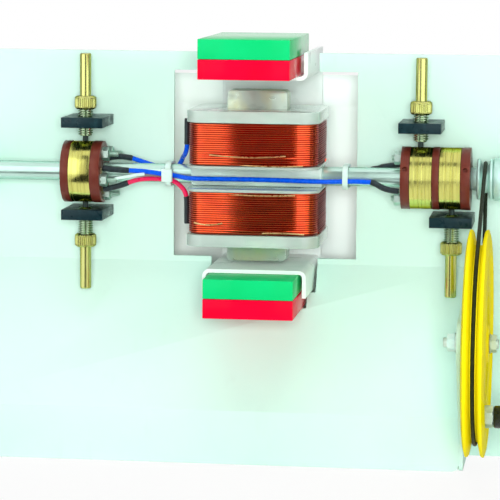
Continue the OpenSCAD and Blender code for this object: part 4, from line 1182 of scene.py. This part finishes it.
def thread_rule(root, crest, pitch, start, end):
    """A thread that climbs one pitch a turn and runs out at both ends."""

    def rule(place, a):
        phase = (place / pitch - a / (2 * math.pi)) % 1.0
        ridge = 1 - abs(2 * phase - 1)
        runs = RUN_OUT * pitch
        ends = min((place - start) / runs, (end - place) / runs, 1.0)
        ridge = min(max(ridge * THREAD_FLANK - THREAD_FLAT, 0.0), 1.0) * max(ends, 0.0)
        return root + (crest - root) * ridge

    return rule


def places(start, end, step):
    count = max(2, int(round((end - start) / step)) + 1)
    return [start + (end - start) * i / (count - 1) for i in range(count)]


def threaded(name, root, crest, pitch, start, end, centre, axis, bore=0.0, steps=32):
    rule = thread_rule(root, crest, pitch, start, end)
    stations = places(start, end, pitch / 8)
    return shaped_bar(name, rule, stations, centre, axis, steps, bore, 45)


# The cone's radius at a face, in half widths over flats, and its steepness
NUT_FACE, NUT_CONE = 1.016, 1.9


def nut_rule(flats, start, end):
    """A hexagon whose corners are cut by a cone at each end."""
    half = flats / 2

    def rule(place, a):
        turn = (a + math.pi / 6) % (math.pi / 3) - math.pi / 6
        cone = half * NUT_FACE + min(place - start, end - place) * NUT_CONE
        return min(half / math.cos(turn), cone)

    return rule


def nut(name, flats, start, end, centre, bore, axis="X"):
    depth = end - start
    stations = [start + depth * s for s in (0, 0.05, 0.12, 0.2, 0.8, 0.88, 0.95, 1)]
    rule = nut_rule(flats, start, end)
    return shaped_bar(name, rule, stations, centre, axis, 60, bore, 25)


print("shaped_bar() is ready")

# %% [markdown]
# Each brush is a carbon rod in a threaded tube. A spring inside the tube
# pushes it onto the drum, and a knurled cap with a rod for a lead's clip
# closes the tube. The four sets are alike, so their pieces are drawn upward
# from zero and then moved to each brush, and upside down for the lower two.

# %% Brush tubes, brushes, caps and rods
BRUSHES = {
    "top_left": (-93.6, 1),
    "bottom_left": (-93.6, -1),
    "top_right": (86.0, 1),
    "bottom_right": (102.9, -1),
}
# Places along the brush, measured from the shaft's middle
TUBE_IN, TUBE_OUT = 19.2, 38.0
CAP_IN, CAP_OUT, ROD_END = 33.5, 40.5, 63.2
BRUSH_IN, BRUSH_OUT = 16.35, 28.35
THREAD_ROOT, THREAD_CREST, THREAD_PITCH, TUBE_BORE = 2.9, 4.0, 1.25, 1.55
BRUSH_R, ROD_R, CAP_R = 1.5, 3.0, 5.8
KNURLS, KNURL_DEEP = 30, 0.42
# The groove near each end of the knurl: place from the end, half width, depth
RING_FROM_END, RING_HALF_W, RING_DEEP = 1.25, 0.14, 0.5
CAP_FACE_R, CAP_CONE = 4.75, 1.2
UPRIGHT = ((0, 0, 0), "Z")


def stand_at(piece, x, sign):
    """Moves a piece drawn upward from zero to its brush, above or below."""
    if sign < 0:
        piece.data.transform(Matrix.Rotation(math.pi, 4, "X"))
    piece.data.transform(Matrix.Translation((x * MM, 0, SHAFT_MM * MM)))
    return piece


def cap_rule(place, a):
    """Knurled between two chamfers, plain on the rod above."""
    if place > CAP_OUT:
        return ROD_R - max(place - ROD_END + 0.5, 0) * 0.9
    edge = min(place - CAP_IN, CAP_OUT - place)
    rib = abs(math.sin(a * KNURLS / 2)) ** 0.7
    in_ring = abs(edge - RING_FROM_END) < RING_HALF_W
    body = CAP_R - (RING_DEEP if in_ring else KNURL_DEEP * (1 - rib))
    return min(body, CAP_FACE_R + edge * CAP_CONE)


def cap_stations():
    low = [CAP_IN + d for d in (0, 0.3, 0.6, 0.9, 1.1, 1.18, 1.32, 1.4)]
    high = [CAP_OUT - d for d in (1.4, 1.32, 1.18, 1.1, 0.9, 0.6, 0.3, 0)]
    rod = [CAP_OUT + 0.02] + places(42.5, ROD_END - 0.5, 4) + [ROD_END - 0.2, ROD_END]
    return low + places(CAP_IN + 2, CAP_OUT - 2, 0.8) + high + rod


THREAD = (THREAD_ROOT, THREAD_CREST, THREAD_PITCH, TUBE_IN, TUBE_OUT)
BRUSH_OUTLINE = [(0, BRUSH_IN), (BRUSH_R - 0.2, BRUSH_IN), (BRUSH_R, BRUSH_IN + 0.2)]
BRUSH_OUTLINE += [(BRUSH_R, BRUSH_OUT - 0.2), (BRUSH_R - 0.2, BRUSH_OUT), (0, BRUSH_OUT)]
for place, (x, sign) in BRUSHES.items():
    sleeve = threaded("threaded_tube_" + place, *THREAD, *UPRIGHT, TUBE_BORE)
    put_on(stand_at(sleeve, x, sign), "stand", "nickel", "tube_" + place)
    name = "knurled_cap_" + place
    cap = shaped_bar(name, cap_rule, cap_stations(), *UPRIGHT, 228, 0, 32)
    put_on(stand_at(cap, x, sign), "brush_cap_" + place, "brass", "cap_" + place)
    carbon = turned("carbon_brush_rod_" + place, BRUSH_OUTLINE, *UPRIGHT, 32)
    put_on(stand_at(carbon, x, sign), "carbon_brush_" + place, "carbon", "brush_" + place)
print("brush sets", len(BRUSHES))

# %% [markdown]
# Six small studs with nuts hold the leads: four on the commutator and two
# on the slip rings. A ring lug lies under each nut, and three of them show
# the flat tongue that runs into their sleeve. The threads are too fine to
# count, but they break up the light as real ones do.

# %% Terminal studs and nuts
COMM_FACE, SLIP_FACE = -83.5, 76.4
STUD_RING = 11.4
COMM_STUDS, SLIP_STUDS = (118, 197, 262, 55), (110, 250)
LUG_T, STUD_NUT, STUD_NUT_T = 0.8, 6.4, 3.0
STUD_THREAD = (1.15, 1.5, 0.5)


def stud_centre(face, degrees):
    a = math.radians(degrees)
    return (face, STUD_RING * math.cos(a), SHAFT_MM + STUD_RING * math.sin(a))


def stud_set(tag, face, degrees, side, reach):
    """A stud, ring lug and nut that stand out to side from a drum face."""
    centre = stud_centre(face, degrees)
    ends = sorted((-4 * side, reach * side))
    stud = threaded("stud_" + tag, *STUD_THREAD, *ends, centre, "X", 0, 24)
    ends = sorted((LUG_T * side, (LUG_T + STUD_NUT_T) * side))
    made = [stud, nut("nut_" + tag, STUD_NUT, *ends, centre, 1.52)]
    outline = band_outline(1.55, 3.4, *sorted((0, LUG_T * side)), 0.12)
    made.append(turned("lug_ring_" + tag, outline, centre, "X", 40))
    for piece in made:
        put_on(piece, "rotor", "nut_plate")
    return made


for n, degrees in enumerate(COMM_STUDS, 1):
    stud_set(f"left_{n}", COMM_FACE, degrees, 1, 8.8)
for n, degrees in enumerate(SLIP_STUDS, 1):
    stud_set(f"right_{n}", SLIP_FACE, degrees, -1, 5.4)
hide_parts("terminal_studs")
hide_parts("terminal_nuts")


def lug_tongue(name, face, degrees, to):
    """A flat tongue from the lug's ring to the mouth of its sleeve."""
    _, y, z = stud_centre(face, degrees)
    start = np.array((face + LUG_T / 2, y, z))
    end = np.array((face + LUG_T / 2, to[1], SHAFT_MM + to[2]))
    along = (end - start) / np.linalg.norm(end - start)
    across = np.cross(along, (1, 0, 0))
    start = start + along * 3.0
    outline = []
    for share, width in ((0, 1.6), (0.3, 1.4), (0.6, 1.25), (1, 1.2)):
        middle = start + (end - start) * share
        for sx, sw in ((-0.4, -1), (-0.4, 1), (0.4, 1), (0.4, -1)):
            outline.append(middle + np.array((sx, 0, 0)) + across * width * sw)
    faces = grid_faces(4, 4, round_rows=False) + [(0, 1, 2, 3), (12, 13, 14, 15)]
    piece = object_from(clean_mesh(name, outline, faces, 40), name)
    return put_on(piece, "rotor", "tinned")


for n, sleeve in ((0, 0), (1, 2), (2, 4)):
    lug_tongue(f"lug_tongue_{n + 1}", COMM_FACE, COMM_STUDS[n], SLEEVES[sleeve][0])

# %% [markdown]
# ## Axle and crank
# The wheel turns on a bolt with a hexagon head, which a nut locks in the
# stand's arm. These are lathe parts again, so outlines are swept round the
# axle, and their ends are worked out from the faces of the wheel and the arm.

# %% Axle
WHEEL_IN, WHEEL_OUT = 114.3, 126.3
ARM_X, AXLE_R, PIN_R = 110.0, 2.5, 3.0
ON_AXLE = (0, AXLE_Y, AXLE_Z)
CRANK, CRANK_R = math.radians(57), 40
PIN_Y, PIN_Z = AXLE_Y - CRANK_R * math.cos(CRANK), AXLE_Z - CRANK_R * math.sin(CRANK)
ON_PIN = (0, PIN_Y, PIN_Z)
WEB_OUT = WHEEL_OUT - WEB_RECESS
HANDLE_IN, HANDLE_L = WEB_OUT + 5.0, 38.0
HANDLE_END = HANDLE_IN + HANDLE_L

axle_outline = [(0, ARM_X - 7), (AXLE_R - 0.3, ARM_X - 7), (AXLE_R, ARM_X - 6.7)]
axle_outline += [(AXLE_R, WHEEL_OUT + 4.6), (2.1, WHEEL_OUT + 5.0), (0, WHEEL_OUT + 5.0)]
axle = turned("axle_pin", axle_outline, ON_AXLE, steps=48)
put_on(axle, "stand", "bare_steel", "axle_bolt")
# Name: place along the axle, finish
AXLE_NUTS = {
    "axle_head": (WHEEL_OUT + 0.9, WHEEL_OUT + 3.9, "bare_steel"),
    "axle_lock_nut": (ARM_X - 5, ARM_X - 1, "tie_white"),
}
for name, (start, end, slot) in AXLE_NUTS.items():
    put_on(nut(name, 8.0, start, end, ON_AXLE, 2.4), "stand", slot)
WASHERS = {
    "axle_washer_out": (WHEEL_OUT + 0.3, WHEEL_OUT + 0.9),
    "axle_washer_in": (ARM_X - 1, ARM_X - 0.05),
}
for name, (start, end) in WASHERS.items():
    washer = turned(name, band_outline(2.6, 5.0, start, end, 0.15), ON_AXLE)
    put_on(washer, "stand", "bare_steel")
print("axle from", ARM_X - 7, "to", WHEEL_OUT + 5)

# %% [markdown]
# The handle is smooth black plastic with a rounded end. It turns on a pin
# that a nut locks in the wheel, so the pin goes round with the wheel while
# the handle can stay still in the hand. They are two pieces for that reason.

# %% Crank pin and handle
pin_outline = [(0, WHEEL_IN - 0.5), (PIN_R - 0.2, WHEEL_IN - 0.5)]
pin_outline += [(PIN_R, WHEEL_IN - 0.3), (PIN_R, HANDLE_END - 5), (4.2, HANDLE_END - 5)]
pin_outline += [(4.2, HANDLE_END - 3), (0, HANDLE_END - 3)]
pin = turned("crank_pin", pin_outline, ON_PIN, steps=48)
put_on(pin, "belt_wheel", "bare_steel", "crank_bolt")
crank_nut = nut("crank_lock_nut", 10.0, WEB_OUT, WEB_OUT + 4.7, ON_PIN, 2.9)
put_on(crank_nut, "belt_wheel", "bare_steel")

handle_outline = [(3.05, HANDLE_IN), (4.9, HANDLE_IN), (5.4, HANDLE_IN + 0.3)]
handle_outline += [(5.7, HANDLE_IN + 0.9)]
for degrees in range(0, 91, 9):
    a = math.radians(degrees)
    handle_outline.append((2.7 + 3 * math.cos(a), HANDLE_END - 3 + 3 * math.sin(a)))
handle_outline += [(0, HANDLE_END), (0, HANDLE_END - 2.6), (4.3, HANDLE_END - 2.6)]
handle_outline += [(4.3, HANDLE_END - 5.6), (3.05, HANDLE_END - 5.6)]
handle = turned("crank_grip", handle_outline, ON_PIN, steps=64, angle=30)
put_on(handle, "crank_handle", "handle_black", "handle")
print("handle reach", HANDLE_END)

# %% [markdown]
# ## What is left
# The shaft, bushes, spacer and the small screws are right as modelled. They
# keep their meshes and only get their finish.

# %% Finish the nodes that stay
for node, part in nodes.items():
    if not part.hide_render:
        for spot in part.material_slots:
            spot.material = FINISHES[slot_of_node[node]].material
kept = sorted(node for node, part in nodes.items() if not part.hide_render)
print("kept nodes", kept)
